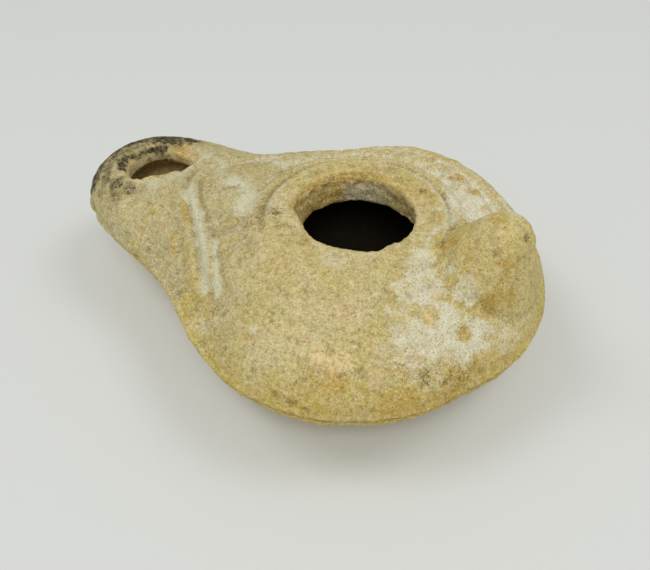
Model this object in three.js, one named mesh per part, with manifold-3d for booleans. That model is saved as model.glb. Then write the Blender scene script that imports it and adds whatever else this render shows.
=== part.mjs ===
// A mould-made clay oil lamp: one hollow pear-shaped body with a ringed filling hole, a wick hole
// at the end of its nozzle, a moulded shoulder and a blunt tongue handle.
// Millimetres, +Z up. The nozzle points along -X and the origin is the centre of the flat underside,
// on the axis of the filling hole.
import * as THREE from 'three';
import { mergeVertices } from 'three/addons/utils/BufferGeometryUtils.js';
import Module from 'manifold-3d';

const wasm = await Module();
wasm.setup();

// The pear outline, measured on the seam between the two mould halves
const BODY_RADIUS = 33.9;
const NOZZLE_RADIUS = 15.0;
const NOZZLE_REACH = 43.5; // filling hole axis to the centre of the nozzle's round end
const WAIST_DEPTH = 2.1; // how far each flank is drawn in between body and nozzle
// Where the hand-pressed clay is out of true: how far it stands out, and the middle and half width of
// the stretch as radians from +X round the filling hole
const OUT_OF_TRUE = [
  { amount: 0.76, angle: 0.0, spread: 0.98 },
  { amount: 0.71, angle: -1.43, spread: 0.74 },
  { amount: -1.2, angle: 1.96, spread: 0.55 },
  { amount: 1.39, angle: 2.69, spread: 0.7 },
  { amount: -0.8, angle: -0.52, spread: 0.33 },
];

// Heights, from the table up
const BASE_HEIGHT = 1.0; // the disc that the lamp stands on
const SEAM_HEIGHT = 14.0;
const NOZZLE_SEAM_RISE = 2.1; // the seam climbs this much towards the nozzle's tip
const SHOULDER_RISE = 11.3; // seam to the shoulder just outside the filling rings
const NOZZLE_RISE = 7.8; // seam to the nozzle's top, at its tip
const NOZZLE_TWIST = 0.09; // slope of the nozzle's top, lower on the +Y side

// The lower bowl's side: 1 for a quarter ellipse, more for a straighter side
const BOWL_BEND = 1.14;

// The shoulder's rounded edge on the body, the neck and the nozzle's end: how far it reaches in from
// the seam, and its bend, from 0.5 for a quarter ellipse to about 1.3 for an even slope
const BODY_EDGE = { width: 16.5, bend: 0.5 };
const NECK_EDGE = { width: 18.0, bend: 1.25 };
const NOZZLE_EDGE = { width: 9.0, bend: 0.55 };
const NECK_START = 18.6; // the body's form gives way to the nozzle's from here on
const NOZZLE_HOLD = 6.2; // the nozzle has its full form this far before its round end's centre
const NECK_MIDDLE_SHARE = 0.55; // of the nozzle's reach

// Clay thickness
const WALL = 4.2;
const RIM_DEPTH = 5.6; // clay under the filling ring
const WICK_RIM_DEPTH = 4.0; // clay round the wick hole

// Filling hole and the rings moulded round it
const FILL_HOLE_RADIUS = 10.2;
const FILL_HOLE_NARROWING = 1.1; // the hole stops this much short on the -Y side
const RIM_BEVEL = 0.9;
const RIM_WIDTH = 5.6;
const RIM_RAISE = 1.4;
const RIM_STEP = 1.2; // width of the step down from the rim
const WORN_RIM_STEP = 6.3; // and where the shoulder is rubbed
const RING_GAP = 2.4;
const RING_RAISE = 0.45;
const RING_HALF_WIDTH = 1.2;

// Wick hole: a straight hole with a worn funnel towards the nozzle's tip and a smaller one beside it
const WICK_HOLE_RADIUS = 6.3;
const WICK_HOLE_SHIFT = { x: 0.7, y: -0.6 }; // from the centre of the nozzle's round end
const FUNNEL_RADIUS = 6.9; // at the nozzle's top
const FUNNEL_SHIFT = { x: -0.6, y: -0.3 };
const SIDE_FUNNEL_RADIUS = 6.1;
const SIDE_FUNNEL_SHIFT = { x: 1.3, y: 2.4 };
const FUNNEL_DEPTH = 2.0;
const FUNNEL_SLOPE = 0.95; // drop in radius for each millimetre of depth
// Next to the neck the hole and its funnels end in a straight edge: the bearing of its nearest point
// from the hole's middle, in radians from the handle's side, and its distance from there
const WICK_EDGE = { bearing: -0.66, reach: 3.8 };

// The double border that closes the decorated shoulder
const BORDER_INSET = 4.3; // from the body's edge
const BORDER_SPACING = 2.6;
const BORDER_RAISE = 0.55;
const BORDER_HALF_WIDTH = 1.15;
const BORDER_GAP = 1.5; // between the border and the wick hole
const BORDER_BULGE_SPREAD = 0.33; // radians to either side of the nozzle's axis

// Leaf strokes on the shoulder
const LEAF_WIDTH = 2.1;
const LEAF_RAISE = 0.72;
const LEAF_FILL = 0.93; // share of the plain band that a leaf's length takes
const LEAF_COUNT = 12; // on each side of the lamp
// The first leaf stands beside the neck and the last beside the handle: radians from the nozzle's
// axis, and radians that its outer end leans towards the handle
const FIRST_LEAF = { angle: 0.5, slant: 0.42 };
const LAST_LEAF = { angle: 2.45, slant: 0.72 };

// Oval knob on the neck
const BOSS_LENGTH = 5.4;
const BOSS_WIDTH = 4.6;
const BOSS_RAISE = 0.6;
const BOSS_GAP = 1.2; // between the second ring and the knob
const BOSS_ANGLE = 0.16; // radians from the nozzle's axis, towards -Y

// The -Y half of the shoulder is rubbed smooth, from the neck round to the handle. The wear grows
// between these shares of the body's radius
const RUBBED_SIDE = [0.1, 0.6];
const RUBBED_FROM_NECK = [-0.7, -0.3];
const RUBBED_LOSS = 0.85; // share of the relief that is gone where the wear is worst
const LEAF_LOST_AT = 0.7; // wear at which a leaf is gone altogether

// Base disc with one groove turned in it
const BASE_RADIUS = 15.0;
const BASE_FLARE = 0.6;
const BASE_GROOVE_RADIUS = 10.6;
const BASE_GROOVE_WIDTH = 1.8;
const BASE_GROOVE_DEPTH = 0.7;

// Tongue handle
const HANDLE_RISE = 9.7; // its top above the shoulder
const HANDLE_ROOT_DEPTH = 8.8; // its root below the shoulder
const HANDLE_LENGTH = 19.2;
const HANDLE_WIDTH = 19.6;
const HANDLE_INSET = 10.6; // middle of its root from the body's edge
const HANDLE_LEAN = 3.1; // its top leans outwards by this much
// Cross-sections from the root up, as shares of its whole height, length, width and lean
const HANDLE_SECTIONS = [
  { height: 0, length: 0.96, width: 1, lean: 0.23 },
  { height: 0.24, length: 1, width: 0.97, lean: 0 },
  { height: 0.46, length: 0.92, width: 0.86, lean: 0 },
  { height: 0.62, length: 0.76, width: 0.71, lean: 0.29 },
  { height: 0.78, length: 0.58, width: 0.56, lean: 0.61 },
  { height: 0.89, length: 0.45, width: 0.44, lean: 0.81 },
  { height: 0.97, length: 0.3, width: 0.31, lean: 0.94 },
  { height: 1, length: 0.15, width: 0.15, lean: 1 },
];

// How finely the curved surfaces are cut into faces, for one side of the lamp
const NOZZLE_STEPS = 10;
const FLANK_STEPS = 10;
const BODY_STEPS = 26;
const CAVITY_STEP = 2; // the cavity uses every second step
const HOLE_SIDES = 48;
const HANDLE_SIDES = 20;
const LENS_SIDES = 8;
const CUT_CLEARANCE = 5; // how far a cutter runs on past the clay's surface
const MERGE_DISTANCE = 1e-4;

// Shares of the way from the rings to the border, from the border to the seam, from the cavity's
// middle to its edge and of the quarter turn from seam to base, at which the surface has a row of points
const BAND_ROWS = [0.35, 0.7];
const EDGE_ROWS = [0.25, 0.48, 0.66, 0.8, 0.91, 0.975];
const BOWL_ROWS = [0.18, 0.4, 0.62, 0.82, 1];
const CEILING_ROWS = [0.25, 0.5, 0.65, 0.78, 0.88, 0.95];
const FLOOR_ROWS = [0.25, 0.5, 0.75, 1];

const NOZZLE_START = NOZZLE_REACH - NOZZLE_HOLD;
const NECK_MIDDLE = NECK_MIDDLE_SHARE * NOZZLE_REACH;
const SHOULDER_HEIGHT = SEAM_HEIGHT + SHOULDER_RISE;
const RIM_TOP = SHOULDER_HEIGHT + RIM_RAISE;
const NOZZLE_TOP = SEAM_HEIGHT + NOZZLE_SEAM_RISE + NOZZLE_RISE;
const RIM_OUTER_RADIUS = FILL_HOLE_RADIUS + RIM_WIDTH;
const RING_RADIUS = RIM_OUTER_RADIUS + RING_GAP;
const RING_EDGE = RING_RADIUS + RING_HALF_WIDTH;
const BORDER_RADIUS = BODY_RADIUS - BORDER_INSET;
const BORDER_INNER_RADIUS = BORDER_RADIUS - BORDER_SPACING;
const BORDER_START = BORDER_INNER_RADIUS - BORDER_HALF_WIDTH;
const BORDER_END = BORDER_RADIUS + BORDER_HALF_WIDTH;
const WICK_HOLE_X = WICK_HOLE_SHIFT.x - NOZZLE_REACH;
// The border runs this much further out where it passes the wick hole
const BORDER_BULGE = -WICK_HOLE_X - WICK_HOLE_RADIUS - BORDER_GAP - BORDER_RADIUS + BORDER_HALF_WIDTH;

const smooth = (from, to, value) => THREE.MathUtils.smoothstep(value, from, to);
const mix = THREE.MathUtils.lerp;
const bump = (distance, halfWidth) =>
  Math.abs(distance) < halfWidth ? Math.cos((distance / halfWidth) * Math.PI / 2) ** 2 : 0;

// The pear outline as plan points, drawn in by inset and anticlockwise seen from above.
function pearOutline(inset, step = 1) {
  const bodyRadius = BODY_RADIUS - inset;
  const nozzleRadius = NOZZLE_RADIUS - inset;
  const lean = Math.asin((bodyRadius - nozzleRadius) / NOZZLE_REACH);
  const normal = new THREE.Vector2(-Math.sin(lean), Math.cos(lean));
  const nozzleCentre = new THREE.Vector2(-NOZZLE_REACH, 0);
  const flankStart = normal.clone().multiplyScalar(bodyRadius);
  const flankEnd = nozzleCentre.clone().addScaledVector(normal, nozzleRadius);
  const tangentAngle = Math.PI / 2 + lean;
  const half = [];
  const bodySteps = BODY_STEPS / step;
  for (let i = 0; i <= bodySteps; i++) {
    const angle = (tangentAngle * i) / bodySteps;
    half.push(new THREE.Vector2(Math.cos(angle), Math.sin(angle)).multiplyScalar(bodyRadius));
  }
  const flankSteps = FLANK_STEPS / step;
  for (let i = 1; i <= flankSteps; i++) {
    const share = i / flankSteps;
    const drawnIn = WAIST_DEPTH * Math.sin(Math.PI * share) ** 2;
    half.push(flankStart.clone().lerp(flankEnd, share).addScaledVector(normal, -drawnIn));
  }
  const nozzleSteps = NOZZLE_STEPS / step;
  for (let i = 1; i <= nozzleSteps; i++) {
    const angle = mix(tangentAngle, Math.PI, i / nozzleSteps);
    const offset = new THREE.Vector2(Math.cos(angle), Math.sin(angle)).multiplyScalar(nozzleRadius);
    half.push(nozzleCentre.clone().add(offset));
  }
  const mirrored = half.slice(1, -1).reverse().map((p) => new THREE.Vector2(p.x, -p.y));
  return half.concat(mirrored).map((p) => {
    const angle = Math.atan2(p.y, p.x);
    const shift = ({ amount, angle: middle, spread }) => {
      const away = THREE.MathUtils.euclideanModulo(angle - middle + Math.PI, 2 * Math.PI) - Math.PI;
      return amount * bump(away, spread);
    };
    return p.setLength(OUT_OF_TRUE.reduce((length, stretch) => length + shift(stretch), p.length()));
  });
}

function distanceToOutline(outline, x, y) {
  let nearest = Infinity;
  for (let i = 0; i < outline.length; i++) {
    const a = outline[i];
    const b = outline[(i + 1) % outline.length];
    const share = ((x - a.x) * (b.x - a.x) + (y - a.y) * (b.y - a.y)) / a.distanceToSquared(b);
    const t = THREE.MathUtils.clamp(share, 0, 1);
    nearest = Math.min(nearest, Math.hypot(x - mix(a.x, b.x, t), y - mix(a.y, b.y, t)));
  }
  return nearest;
}

// 0 over the body, 1 over the nozzle
const nozzleShare = (x) => smooth(NECK_START, NOZZLE_START, -x);

const seamHeight = (x) => SEAM_HEIGHT + NOZZLE_SEAM_RISE * smooth(0, NOZZLE_REACH + NOZZLE_RADIUS, -x);

// A rounded edge: 0 at the seam, 1 once the edge's width has been crossed
function edgeRise(x, fromSeam) {
  const neckShare = bump(-x - NECK_MIDDLE, NECK_MIDDLE);
  const blend = (key) =>
    mix(mix(BODY_EDGE[key], NOZZLE_EDGE[key], nozzleShare(x)), NECK_EDGE[key], neckShare);
  const share = Math.min(fromSeam / blend('width'), 1);
  return (1 - (1 - share) ** 2) ** blend('bend');
}

// Height of the plain upper surface, without its relief
function plainTop(x, y, fromSeam) {
  const crown = mix(SHOULDER_HEIGHT, NOZZLE_TOP - NOZZLE_TWIST * y, nozzleShare(x));
  return seamHeight(x) + (crown - seamHeight(x)) * edgeRise(x, fromSeam);
}

const bowlCurve = (side) => Math.max(0, side) ** BOWL_BEND;

// How far the shoulder's border lies outside its usual radius at this angle from the nozzle's axis
const borderShift = (angle) => BORDER_BULGE * Math.exp(-((angle / BORDER_BULGE_SPREAD) ** 2));

// How worn the shoulder is: 1 where it is worst
const rubbedAt = (x, y) =>
  smooth(...RUBBED_SIDE, -y / BODY_RADIUS) * smooth(...RUBBED_FROM_NECK, x / BODY_RADIUS);

// The moulded relief: filling ring, second ring and double border
function relief(x, y) {
  const r = Math.hypot(x, y);
  const angle = Math.atan2(Math.abs(y), -x);
  const rubbed = rubbedAt(x, y);
  const kept = 1 - RUBBED_LOSS * rubbed;
  const step = mix(RIM_STEP, WORN_RIM_STEP, rubbed);
  const rim = RIM_RAISE * (1 - smooth(0, step, r - RIM_OUTER_RADIUS));
  const ring = RING_RAISE * bump(r - RING_RADIUS, RING_HALF_WIDTH);
  const shifted = r - borderShift(angle);
  const outer = bump(shifted - BORDER_RADIUS, BORDER_HALF_WIDTH);
  const inner = bump(shifted - BORDER_INNER_RADIUS, BORDER_HALF_WIDTH);
  return rim + kept * (ring + BORDER_RAISE * (outer + inner));
}

// Joins a stack of loops, each anticlockwise from above and listed from top to bottom, into a closed solid.
function skin(loops) {
  const count = loops[0].length;
  const positions = loops.flat().flatMap((p) => [p.x, p.y, p.z]);
  const triangles = [];
  for (let i = 0; i < loops.length - 1; i++) {
    for (let j = 0; j < count; j++) {
      const k = (j + 1) % count;
      const upper = i * count;
      const lower = upper + count;
      triangles.push(upper + j, lower + j, lower + k, upper + j, lower + k, upper + k);
    }
  }
  for (const [loop, base, facesUp] of [
    [loops[0], 0, true],
    [loops.at(-1), (loops.length - 1) * count, false],
  ]) {
    const centre = positions.length / 3;
    const middle = loop.reduce((sum, p) => sum.add(p), new THREE.Vector3()).divideScalar(count);
    positions.push(middle.x, middle.y, middle.z);
    for (let j = 0; j < count; j++) {
      const k = (j + 1) % count;
      triangles.push(centre, base + (facesUp ? j : k), base + (facesUp ? k : j));
    }
  }
  return new wasm.Manifold(
    new wasm.Mesh({
      numProp: 3,
      vertProperties: new Float32Array(positions),
      triVerts: new Uint32Array(triangles),
    }),
  );
}

function solidFrom(geometry) {
  const plain = geometry.clone();
  plain.deleteAttribute('normal');
  plain.deleteAttribute('uv');
  const merged = mergeVertices(plain, MERGE_DISTANCE);
  return new wasm.Manifold(
    new wasm.Mesh({
      numProp: 3,
      vertProperties: merged.attributes.position.array,
      triVerts: new Uint32Array(merged.index.array),
    }),
  );
}

// The outside of the body and nozzle, still closed
function outerBody() {
  const outline = pearOutline(0);
  const ringLoop = (radius, height) =>
    outline.map((p) => {
      const direction = p.clone().normalize();
      return new THREE.Vector3(direction.x * radius, direction.y * radius, height);
    });
  const topLoop = (radiusAt) =>
    outline.map((p) => {
      const angle = Math.atan2(Math.abs(p.y), -p.x);
      const radius = radiusAt(p.length(), angle);
      const { x, y } = p.clone().setLength(radius);
      return new THREE.Vector3(x, y, plainTop(x, y, distanceToOutline(outline, x, y)) + relief(x, y));
    });
  const loops = [ringLoop(FILL_HOLE_RADIUS / 2, RIM_TOP)];
  const ringRadii = [
    FILL_HOLE_RADIUS + RIM_BEVEL * 2,
    RIM_OUTER_RADIUS,
    RIM_OUTER_RADIUS + RIM_STEP,
    RING_RADIUS,
    RING_EDGE,
  ];
  for (const radius of ringRadii) loops.push(topLoop(() => radius));
  for (const share of BAND_ROWS) {
    loops.push(topLoop((_, angle) => mix(RING_EDGE, BORDER_START + borderShift(angle), share)));
  }
  const between = (BORDER_INNER_RADIUS + BORDER_RADIUS) / 2;
  for (const radius of [BORDER_START, BORDER_INNER_RADIUS, between, BORDER_RADIUS, BORDER_END]) {
    loops.push(topLoop((_, angle) => radius + borderShift(angle)));
  }
  for (const share of EDGE_ROWS) {
    loops.push(topLoop((seam, angle) => mix(BORDER_END + borderShift(angle), seam, share)));
  }
  loops.push(outline.map((p) => new THREE.Vector3(p.x, p.y, seamHeight(p.x))));
  for (const quarter of BOWL_ROWS) {
    const turn = (quarter * Math.PI) / 2;
    loops.push(
      outline.map((p) => {
        const radius = mix(BASE_RADIUS + BASE_FLARE, p.length(), bowlCurve(Math.cos(turn)));
        const { x, y } = p.clone().setLength(radius);
        return new THREE.Vector3(x, y, mix(seamHeight(p.x), BASE_HEIGHT, bowlCurve(Math.sin(turn))));
      }),
    );
  }
  loops.push(ringLoop(BASE_RADIUS, 0));
  return skin(loops);
}

// The hollow inside, a wall's thickness in from the outside all round
function cavity() {
  const outline = pearOutline(WALL, CAVITY_STEP);
  const ceiling = (x) => mix(RIM_TOP - RIM_DEPTH, NOZZLE_TOP - WICK_RIM_DEPTH, nozzleShare(x));
  const loopAt = (share, heightAt) =>
    outline.map((p) => new THREE.Vector3(p.x * share, p.y * share, heightAt(p.x * share, p.y * share)));
  const upper = (x, y) =>
    mix(seamHeight(x), ceiling(x), edgeRise(x, distanceToOutline(outline, x, y)));
  const loops = CEILING_ROWS.map((share) => loopAt(share, upper));
  loops.push(loopAt(1, (x) => seamHeight(x)));
  for (const quarter of FLOOR_ROWS) {
    const turn = (quarter * Math.PI) / 2;
    loops.push(
      outline.map((p) => {
        const { x, y } = p.clone().setLength(mix(BASE_RADIUS - WALL, p.length(), bowlCurve(Math.cos(turn))));
        return new THREE.Vector3(x, y, mix(seamHeight(p.x), WALL, bowlCurve(Math.sin(turn))));
      }),
    );
  }
  return skin(loops);
}

// A solid turned round its own vertical axis from points of radius and height
function turned(points) {
  const profile = points.map(([radius, height]) => new THREE.Vector2(radius, height));
  return new THREE.LatheGeometry(profile, HOLE_SIDES).rotateX(Math.PI / 2);
}

// A hole's cutter from bottom to top, widening by the bevel at its upper edge and on above the clay
function holeCutter(radius, bevel, bottom, top) {
  const above = top + CUT_CLEARANCE;
  return turned([
    [0, bottom],
    [radius, bottom],
    [radius, top - bevel],
    [radius + bevel + CUT_CLEARANCE, above],
    [0, above],
  ]);
}

function fillingHole() {
  const cutter = holeCutter(FILL_HOLE_RADIUS, RIM_BEVEL, SEAM_HEIGHT, RIM_TOP);
  const squeeze = FILL_HOLE_NARROWING / 2;
  cutter.scale(1, 1 - squeeze / FILL_HOLE_RADIUS, 1).translate(0, squeeze, 0);
  return solidFrom(cutter);
}

function wickHole() {
  const cutter = holeCutter(WICK_HOLE_RADIUS, 0, SEAM_HEIGHT, NOZZLE_TOP);
  return solidFrom(cutter.translate(WICK_HOLE_X, WICK_HOLE_SHIFT.y, 0));
}

function wickFunnel(radius, shift) {
  const bottom = NOZZLE_TOP - FUNNEL_DEPTH;
  const above = NOZZLE_TOP + CUT_CLEARANCE;
  const cutter = turned([
    [0, bottom],
    [radius - FUNNEL_DEPTH * FUNNEL_SLOPE, bottom],
    [radius, NOZZLE_TOP],
    [radius + CUT_CLEARANCE * FUNNEL_SLOPE, above],
    [0, above],
  ]);
  return solidFrom(cutter.translate(shift.x - NOZZLE_REACH, shift.y, 0));
}

// The whole opening at the wick, cut off straight next to the neck
function wickOpening() {
  const across = [-Math.cos(WICK_EDGE.bearing), -Math.sin(WICK_EDGE.bearing), 0];
  const middle = WICK_HOLE_X * across[0] + WICK_HOLE_SHIFT.y * across[1];
  return wickHole()
    .add(wickFunnel(FUNNEL_RADIUS, FUNNEL_SHIFT))
    .add(wickFunnel(SIDE_FUNNEL_RADIUS, SIDE_FUNNEL_SHIFT))
    .trimByPlane(across, middle - WICK_EDGE.reach);
}

function baseGroove() {
  const inner = BASE_GROOVE_RADIUS - BASE_GROOVE_WIDTH / 2;
  const outer = BASE_GROOVE_RADIUS + BASE_GROOVE_WIDTH / 2;
  return solidFrom(
    turned([
      [inner, -CUT_CLEARANCE],
      [outer, -CUT_CLEARANCE],
      [outer, 0],
      [BASE_GROOVE_RADIUS, BASE_GROOVE_DEPTH],
      [inner, 0],
      [inner, -CUT_CLEARANCE],
    ]),
  );
}

function handle() {
  const loops = HANDLE_SECTIONS.map(({ height, length, width, lean }) => {
    const middle = BODY_RADIUS - HANDLE_INSET + HANDLE_LEAN * lean;
    const level = mix(SHOULDER_HEIGHT - HANDLE_ROOT_DEPTH, SHOULDER_HEIGHT + HANDLE_RISE, height);
    return Array.from({ length: HANDLE_SIDES }, (_, i) => {
      const angle = (i / HANDLE_SIDES) * Math.PI * 2;
      return new THREE.Vector3(
        middle + (HANDLE_LENGTH / 2) * length * Math.cos(angle),
        (HANDLE_WIDTH / 2) * width * Math.sin(angle),
        level,
      );
    });
  });
  return skin(loops.reverse());
}

// A low lens-shaped mound on the shoulder, turned in plan from pointing straight outwards
function mound(x, y, length, width, raise, turn) {
  const outline = pearOutline(0);
  const direction = new THREE.Vector2(x, y).normalize();
  const place = (offset) => {
    const px = x + direction.x * offset;
    const py = y + direction.y * offset;
    return new THREE.Vector3(px, py, plainTop(px, py, distanceToOutline(outline, px, py)));
  };
  const outward = place(1).sub(place(-1)).normalize();
  const sideways = new THREE.Vector3(0, 0, 1).cross(outward).normalize();
  const up = outward.clone().cross(sideways).normalize();
  const lens = new THREE.SphereGeometry(1, LENS_SIDES, LENS_SIDES / 2);
  lens.rotateX(Math.PI / 2);
  lens.scale(length / 2, width / 2, raise);
  lens.rotateZ(turn);
  lens.applyMatrix4(new THREE.Matrix4().makeBasis(outward, sideways, up).setPosition(place(0)));
  return solidFrom(lens);
}

function shoulderMounds() {
  const bossRadius = RING_EDGE + BOSS_GAP + BOSS_LENGTH / 2;
  const bossX = -bossRadius * Math.cos(BOSS_ANGLE);
  const bossY = -bossRadius * Math.sin(BOSS_ANGLE);
  const mounds = [mound(bossX, bossY, BOSS_LENGTH, BOSS_WIDTH, BOSS_RAISE, 0)];
  const radius = (RING_EDGE + BORDER_START) / 2;
  const leafLength = (BORDER_START - RING_EDGE) * LEAF_FILL;
  for (let i = 0; i < LEAF_COUNT; i++) {
    const share = i / (LEAF_COUNT - 1);
    const angle = mix(FIRST_LEAF.angle, LAST_LEAF.angle, share);
    const slant = mix(FIRST_LEAF.slant, LAST_LEAF.slant, share);
    for (const side of [-1, 1]) {
      const x = -radius * Math.cos(angle);
      const y = side * radius * Math.sin(angle);
      if (rubbedAt(x, y) > LEAF_LOST_AT) continue;
      mounds.push(mound(x, y, leafLength, LEAF_WIDTH, LEAF_RAISE, -side * slant));
    }
  }
  return mounds;
}

function lampSolid() {
  let lamp = outerBody().add(handle());
  for (const raised of shoulderMounds()) lamp = lamp.add(raised);
  return lamp
    .subtract(cavity())
    .subtract(fillingHole())
    .subtract(wickOpening())
    .subtract(baseGroove());
}

function meshFrom(solid, name, material) {
  const { numProp, vertProperties, triVerts } = solid.getMesh();
  const geometry = new THREE.BufferGeometry();
  const count = vertProperties.length / numProp;
  const position = new Float32Array(count * 3);
  for (let i = 0; i < count; i++) position.set(vertProperties.subarray(i * numProp, i * numProp + 3), i * 3);
  geometry.setAttribute('position', new THREE.BufferAttribute(position, 3));
  geometry.setIndex(new THREE.BufferAttribute(triVerts, 1));
  geometry.computeVertexNormals();
  const mesh = new THREE.Mesh(geometry, material);
  mesh.name = name;
  return mesh;
}

const firedClay = new THREE.MeshStandardMaterial({ color: 0xc9b183, roughness: 0.92, metalness: 0 });

const lamp = new THREE.Group();
lamp.name = 'oil_lamp';
lamp.add(meshFrom(lampSolid(), 'lamp_body', firedClay));

export default lamp;
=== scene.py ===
"""A mould-made clay oil lamp with its worn, pitted and stained surface, on a pale table."""

import math
import random

import bmesh
import bpy
import numpy as np
from mathutils import Matrix, Vector, kdtree, noise


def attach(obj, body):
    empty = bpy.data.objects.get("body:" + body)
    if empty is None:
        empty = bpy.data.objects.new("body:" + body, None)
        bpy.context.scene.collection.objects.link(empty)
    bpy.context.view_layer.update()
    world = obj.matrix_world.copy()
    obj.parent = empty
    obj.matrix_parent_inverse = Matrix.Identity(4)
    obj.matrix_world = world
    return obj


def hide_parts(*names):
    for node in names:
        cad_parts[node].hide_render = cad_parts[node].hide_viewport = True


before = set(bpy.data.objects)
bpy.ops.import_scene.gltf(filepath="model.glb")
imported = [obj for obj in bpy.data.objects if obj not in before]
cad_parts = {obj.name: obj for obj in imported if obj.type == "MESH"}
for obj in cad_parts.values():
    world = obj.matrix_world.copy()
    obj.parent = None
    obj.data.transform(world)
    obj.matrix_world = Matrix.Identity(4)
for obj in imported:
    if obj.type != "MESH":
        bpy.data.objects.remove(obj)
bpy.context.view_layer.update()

bl_info = {
    "name": "Clay Oil Lamp",
    "version": (1, 0, 0),
    "blender": (4, 5, 0),
    "location": "View3D > Sidebar > Oil Lamp",
    "description": "Worn fired-clay surface for a mould-made oil lamp, with a table and soft light",
    "category": "Object",
}

MM = 0.001

# Sizes of the lamp's moulded forms, in millimetres, for the relief that the surface sharpens
BODY_RADIUS = 33.9
FILL_HOLE_RADIUS = 10.2
RIM_OUTER_RADIUS = 15.8
RIM_TOP = 26.7
RIM_FOOT_OFFSET = 1.2
RIM_FOOT_HALF_WIDTH = 0.7
RING_RADIUS = 18.2
BORDER_RADIUS = 29.6
BORDER_INNER_RADIUS = 27.0
BORDER_BULGE = 6.55
BORDER_BULGE_SPREAD = 0.33
RIDGE_HALF_WIDTH = 0.8
GROOVE_HALF_WIDTH = 0.9
GROOVE_OFFSET = 1.7
SEAM_HEIGHT = 14.0
NOZZLE_SEAM_RISE = 2.1
NOZZLE_END = 58.5
NOZZLE_CENTRE = Vector((-43.5, 0.0))
WICK_HOLE = Vector((-42.8, -0.6))
WICK_HOLE_RADIUS = 6.3
WICK_EDGE_REACH = 3.8
LEAF_COUNT = 12
LEAF_WIDTH = 2.1
LEAF_HALF_LENGTH = 3.3
HANDLE_MIDDLE = 24.5
HANDLE_HALF_LENGTH = 10.5
HANDLE_HALF_WIDTH = 10.8

# Bearings in radians: the wick hole's straight edge, and round the shoulder the first and last leaf
# stroke, each with its slant
WICK_EDGE_BEARING = -0.66
FIRST_LEAF = (0.5, 0.42)
LAST_LEAF = (2.45, 0.72)

# Worn places of the filling hole: bearing and spread in degrees, and millimetres towards the middle
# at its edge and at the foot of its wall
FILL_HOLE_WEAR = (
    (-72.0, 14.0, 0.4, 0.2),
    (-45.0, 7.0, -0.4, 0.0),
    (-27.0, 12.0, 0.25, 0.2),
    (25.0, 32.0, 0.0, -0.9),
    (145.0, 30.0, -0.3, 0.4),
    (192.0, 16.0, -0.6, 0.0),
)

# Single dents and pits: x, y, z, reach and depth in millimetres
DENTS = (
    (-52, -12.2, 16.8, 1.8, 0.5), (-37.5, -18, 15.5, 1.6, 0.5),
    (-12.8, -6.1, 26.7, 0.8, 0.6), (-13.9, -5.2, 26.6, 0.7, 0.5),
    (-12.2, -7.4, 26.6, 0.6, 0.5), (-23.2, -0.9, 24.9, 1, 0.35),
    (-24.8, -1.2, 24.9, 1, 0.35), (-26.1, -2.7, 24.8, 0.9, 0.3),
    (29.5, -1, 33.6, 1, 0.7), (16, -1.1, 26.7, 1.1, 0.5),
    (18, 10.2, 25.1, 0.8, 0.7), (7.8, 11.1, 26.7, 0.7, 0.5),
    (2.7, -34.1, 16.4, 1.5, 0.4), (5.2, -33.9, 15.9, 1.4, 0.4),
    (7.7, -33.5, 15.4, 1.3, 0.4), (25.5, -20.6, 17.6, 0.9, 0.5),
    (-14.3, -30.1, 15.2, 1.8, 0.35),
)

# Stains and deposits: x, y, z, reach in millimetres, and strength
CHALK_PATCHES = (
    (17, -9.5, 25, 6, 0.6), (20.5, -14, 23.9, 6.5, 0.72),
    (18.5, -18.5, 23, 5, 0.5), (26, -13.8, 20.9, 4.8, 0.7),
    (21.6, -18.6, 22.2, 4, 0.6), (30, -9, 19.6, 4, 0.4),
    (15, -5, 25.9, 3, 0.6), (22.5, -20, 20.5, 4.5, 0.4),
    (13, 16.5, 25.3, 4.5, 0.6), (17, 13, 25, 5, 0.85),
    (14.5, 9, 25.6, 3.5, 0.6), (9, 20.5, 25, 5, 0.45),
    (20.5, 18.5, 21, 4, 0.5), (27, 3, 34.4, 2.6, 0.5),
    (23, -8.2, 25.4, 3, 0.6), (2, -12.5, 26, 3, 0.3),
    (-4, -28.1, 22.5, 0.8, 0.5), (-17, -27, 17, 3, 0.35),
)
BARE_PATCHES = (
    (19.4, -14.4, 24.1, 2.2, 1), (25.4, -13.4, 21.9, 1.7, 1),
    (29, -14.6, 18.6, 2, 0.8),
)
OCHRE_PATCHES = (
    (25.4, -13.4, 21.9, 1.6, 0.55), (10.8, -29.4, 20.6, 2.8, 0.95),
    (8.2, -29.8, 20.6, 1.6, 0.8), (24, -12.6, 22.2, 2.2, 0.5),
    (19.5, -11.5, 24.6, 2.4, 0.5), (17.6, -2, 28.4, 2.2, 1),
    (28, -4.9, 30, 2, 0.9), (26.8, -7.6, 24.4, 2.8, 0.85),
    (30, -6.4, 25, 2.6, 0.8), (24, 0.4, 34.4, 2.2, 0.6),
    (-42.6, 6.6, 22.6, 2.4, 0.9), (-40.4, 5.6, 22.8, 2, 0.8),
    (24, 6, 30, 4, 0.4), (-18, -5, 25.6, 2.4, 0.4),
    (27, -20, 17, 7, 0.75), (20, -26.5, 17, 6, 0.7),
    (8, -31.5, 17.5, 6, 0.5), (32.5, -11.5, 15.5, 6, 0.6),
    (-8, 6.5, 26, 4, 0.5), (4, 10.4, 26.2, 3, 0.5),
    (-27, 4, 24.6, 5, 0.35), (-12, -10.5, 26.2, 3, 0.35),
)
PEACH_PATCHES = (
    (7.8, -28, 22.4, 2.4, 0.85), (10.4, -27.6, 22.2, 2.6, 1),
    (19.4, -14.4, 24.1, 2.2, 0.6), (-13.4, -27, 19.4, 1.8, 0.7),
    (-55, -3, 21.5, 3, 0.5), (-50.5, 6, 22.5, 3, 0.4),
    (-43, 6, 21.5, 4, 0.5),
)
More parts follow.
